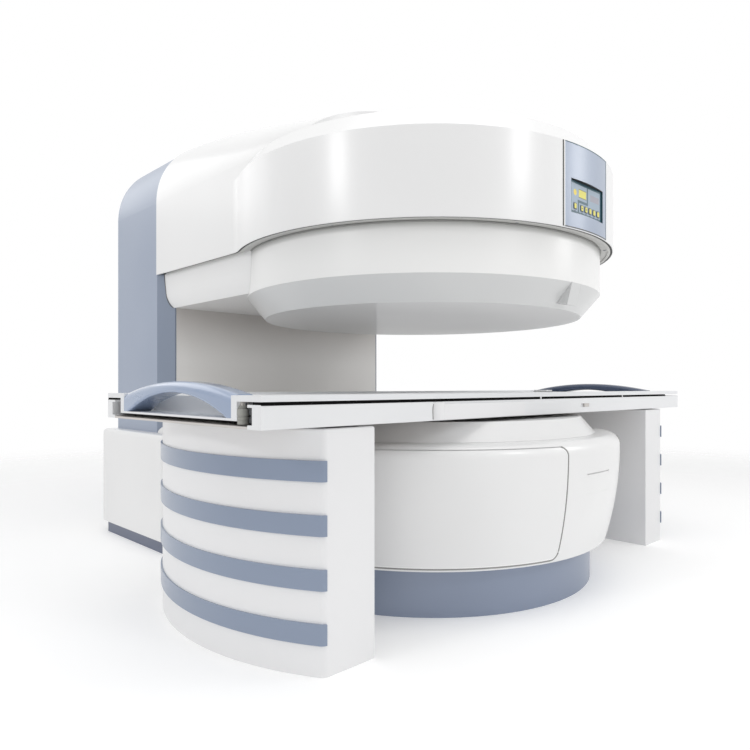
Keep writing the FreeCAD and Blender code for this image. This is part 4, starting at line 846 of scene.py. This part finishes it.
GRIP_LINE = ((0.006, 0.6925), (0.001, 0.688), (-0.0022, 0.680), (-0.0032, 0.668),
             (-0.0026, 0.655), (-0.0015, 0.6425))
grip_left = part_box("side_grip")[0][0]
seam = [(grip_left + x, rail_low[1] - 0.0004, z) for x, z in GRIP_LINE]
tube("grip_seam", seam, 0.0012, "bed_frame", joint_and_shade_grey)
print("table marks made, with", len(CLIP_PLACES), "clips")

# %% [markdown]
# In the open end of the front rail a grooved grey buffer shows under a small bolted bracket. The
# buffer is half of a turned shape, so its outline is spun through half a turn and the flat side,
# which lies against the tray, is filled.

# %% End buffer in the rail
BUFFER_PLACE = (-1.1775, -0.476, 0.67)
BUFFER_TURN_STEPS = 20
TOUCHING = 0.00002
BUFFER_STEPS = (  # radius, height
    (0.0, 0.6935), (0.0120, 0.6935), (0.0120, 0.6900), (0.0142, 0.6896), (0.0142, 0.6880),
    (0.0128, 0.6876), (0.0128, 0.6866), (0.0162, 0.6860), (0.0165, 0.6700), (0.0146, 0.6694),
    (0.0146, 0.6658), (0.0160, 0.6652), (0.0160, 0.6600), (0.0148, 0.6594), (0.0148, 0.6576),
    (0.0156, 0.6570), (0.0152, 0.6480), (0.0, 0.6480))
form = bmesh.new()
outline = [form.verts.new((BUFFER_PLACE[0] - radius, BUFFER_PLACE[1], height))
           for radius, height in BUFFER_STEPS]
outline += [form.edges.new(pair) for pair in zip(outline, outline[1:])]
spun(form, outline, BUFFER_PLACE, math.pi, BUFFER_TURN_STEPS)
bmesh.ops.remove_doubles(form, verts=form.verts[:], dist=TOUCHING)
bmesh.ops.holes_fill(form, edges=[edge for edge in form.edges if edge.is_boundary], sides=0)
finished("end_buffer", form, "bed", buffer_grey, smooth=False)
block("buffer_bracket", (-1.1850, -0.4860, 0.6937), (-1.1665, -0.4758, 0.7036), "bed", bracket_grey,
      0.0006)
screw("buffer_bolt", (-1.1752, -0.4862, 0.6985), (0, -1, 0), 0.0034, "bed", 0.8)
print("end buffer has", len(BUFFER_STEPS), "steps")

# %% [markdown]
# Where the arm's cover meets the column's slanted strips, a dark seam runs down and bends inwards
# at its foot. It lies on the strip, whose slope in plan gives the depth of each point.

# %% Seam between the arm and the column
ARM_LINE = ((0.6812, 1.2640), (0.6792, 1.2200), (0.6772, 1.1900), (0.6752, 1.1600),
            (0.6706, 1.1350), (0.6640, 1.1180), (0.6560, 1.1075))  # distance out, height
STRIP_START, STRIP_END = (0.652, 0.944), (0.7016, 1.0245)  # distance out, depth
SEAM_PROUD = 0.0008
slope = (STRIP_END[1] - STRIP_START[1]) / (STRIP_END[0] - STRIP_START[0])
for side, sign in (("left", -1), ("right", 1)):
    seam = [(sign * out, STRIP_START[1] + (out - STRIP_START[0]) * slope - SEAM_PROUD, height)
            for out, height in ARM_LINE]
    tube(f"arm_seam_{side}", seam, 0.0019, "magnet_and_stand", seal_grey)
print("arm seams made, slope", round(slope, 3))

# %% [markdown]
# Light: white equipment is photographed in a white room, so most of the light comes from all round
# and the shading stays shallow. The world gives that part. One broad lamp above lifts the tops, two
# small soft boxes at the left and in front draw the two glowing stripes on the round head, one at
# the right lifts the side with the control panel, and a weak one behind lights the neck.

# %% Lamps
LAMPS = {  # place, aim, width, height, watts
    "top_light": ((-0.6, -0.8, 4.6), (0, 0.2, 1.0), 4.5, 3.5, 64),
    "front_light": ((0.3, -4.8, 3.0), (0, 0, 1.2), 0.9, 0.8, 23),
    "left_light": ((-5.0, 0.05, 3.0), (0, 0, 1.2), 0.8, 0.7, 24),
    "right_light": ((2.9, -3.3, 2.7), (0, 0, 1.3), 1.0, 1.4, 19),
    "back_light": ((-2.0, 4.5, 3.6), (0, 0.6, 1.2), 3.0, 2.0, 19),
}
for name, (place, aim, width, height, watts) in LAMPS.items():
    lamp = bpy.data.lights.new(name, "AREA")
    lamp.shape = "RECTANGLE"
    lamp.size, lamp.size_y = width, height
    lamp.energy = watts
    holder = bpy.data.objects.new(name, lamp)
    holder.location = place
    holder.rotation_euler = (Vector(aim) - Vector(place)).to_track_quat("-Z", "Y").to_euler()
    bpy.context.scene.collection.objects.link(holder)
print("lamps:", len(LAMPS))

# %% [markdown]
# The background is plain white, but a white world would be too much light on the object. So the
# world holds two backgrounds. Rays that make the picture, straight from the camera or by way of
# gloss or clear things, see the white one, and all others meet the dimmer one that lights the room.

# %% World
ROOM_LIGHT = 0.63
WHITE = (1.0, 1.0, 1.0, 1.0)

world = bpy.data.worlds.new("studio")
bpy.context.scene.world = world
world.use_nodes = True
sky = Tree(world.node_tree)
sky.nodes.remove(sky.nodes["Background"])
camera_ray, glossy_ray, clear_ray = (
    sky.node("ShaderNodeLightPath", output=f"Is {kind} Ray")
    for kind in ("Camera", "Glossy", "Transmission"))
room = sky.node("ShaderNodeBackground", None, {"Color": WHITE, "Strength": ROOM_LIGHT})
backdrop = sky.node("ShaderNodeBackground", None, {"Color": WHITE, "Strength": 1.0})
shown = camera_ray | glossy_ray | clear_ray
both = sky.node("ShaderNodeMixShader", None, {0: shown, 1: room, 2: backdrop})
sky.feed(sky.nodes["World Output"].inputs["Surface"], both)
bpy.context.scene.view_settings.view_transform = "Standard"
print("room light:", ROOM_LIGHT)

# %% [markdown]
# The floor takes the machine's soft shadow. It glows a little, so that it is nearly as white as the
# background, and fades out far from the machine, so that no horizon shows.

# %% Floor
FLOOR_HALF = 14
FLOOR_GLOW = 0.15
FADE_STARTS, FADE_ENDS = 3.0, 6.5

floor_mesh = bpy.data.meshes.new("floor")
form = bmesh.new()
bmesh.ops.create_grid(form, x_segments=1, y_segments=1, size=FLOOR_HALF)
form.to_mesh(floor_mesh)
form.free()
floor = bpy.data.objects.new("floor", floor_mesh)
bpy.context.scene.collection.objects.link(floor)
floor_finish = Finish("floor", Base_Color=(0.93, 0.93, 0.93, 1.0), Roughness=0.7,
                      Specular_IOR_Level=0.2, Emission_Color=WHITE, Emission_Strength=FLOOR_GLOW)
distance = floor_finish.node("ShaderNodeVectorMath", {"operation": "LENGTH"},
                             {0: floor_finish.place()}, "Value")
floor_finish.set(Alpha=1.0 - distance.smooth(FADE_STARTS, FADE_ENDS))
floor_mesh.materials.append(floor_finish.material)
print("floor fades out at", FADE_ENDS, "m")
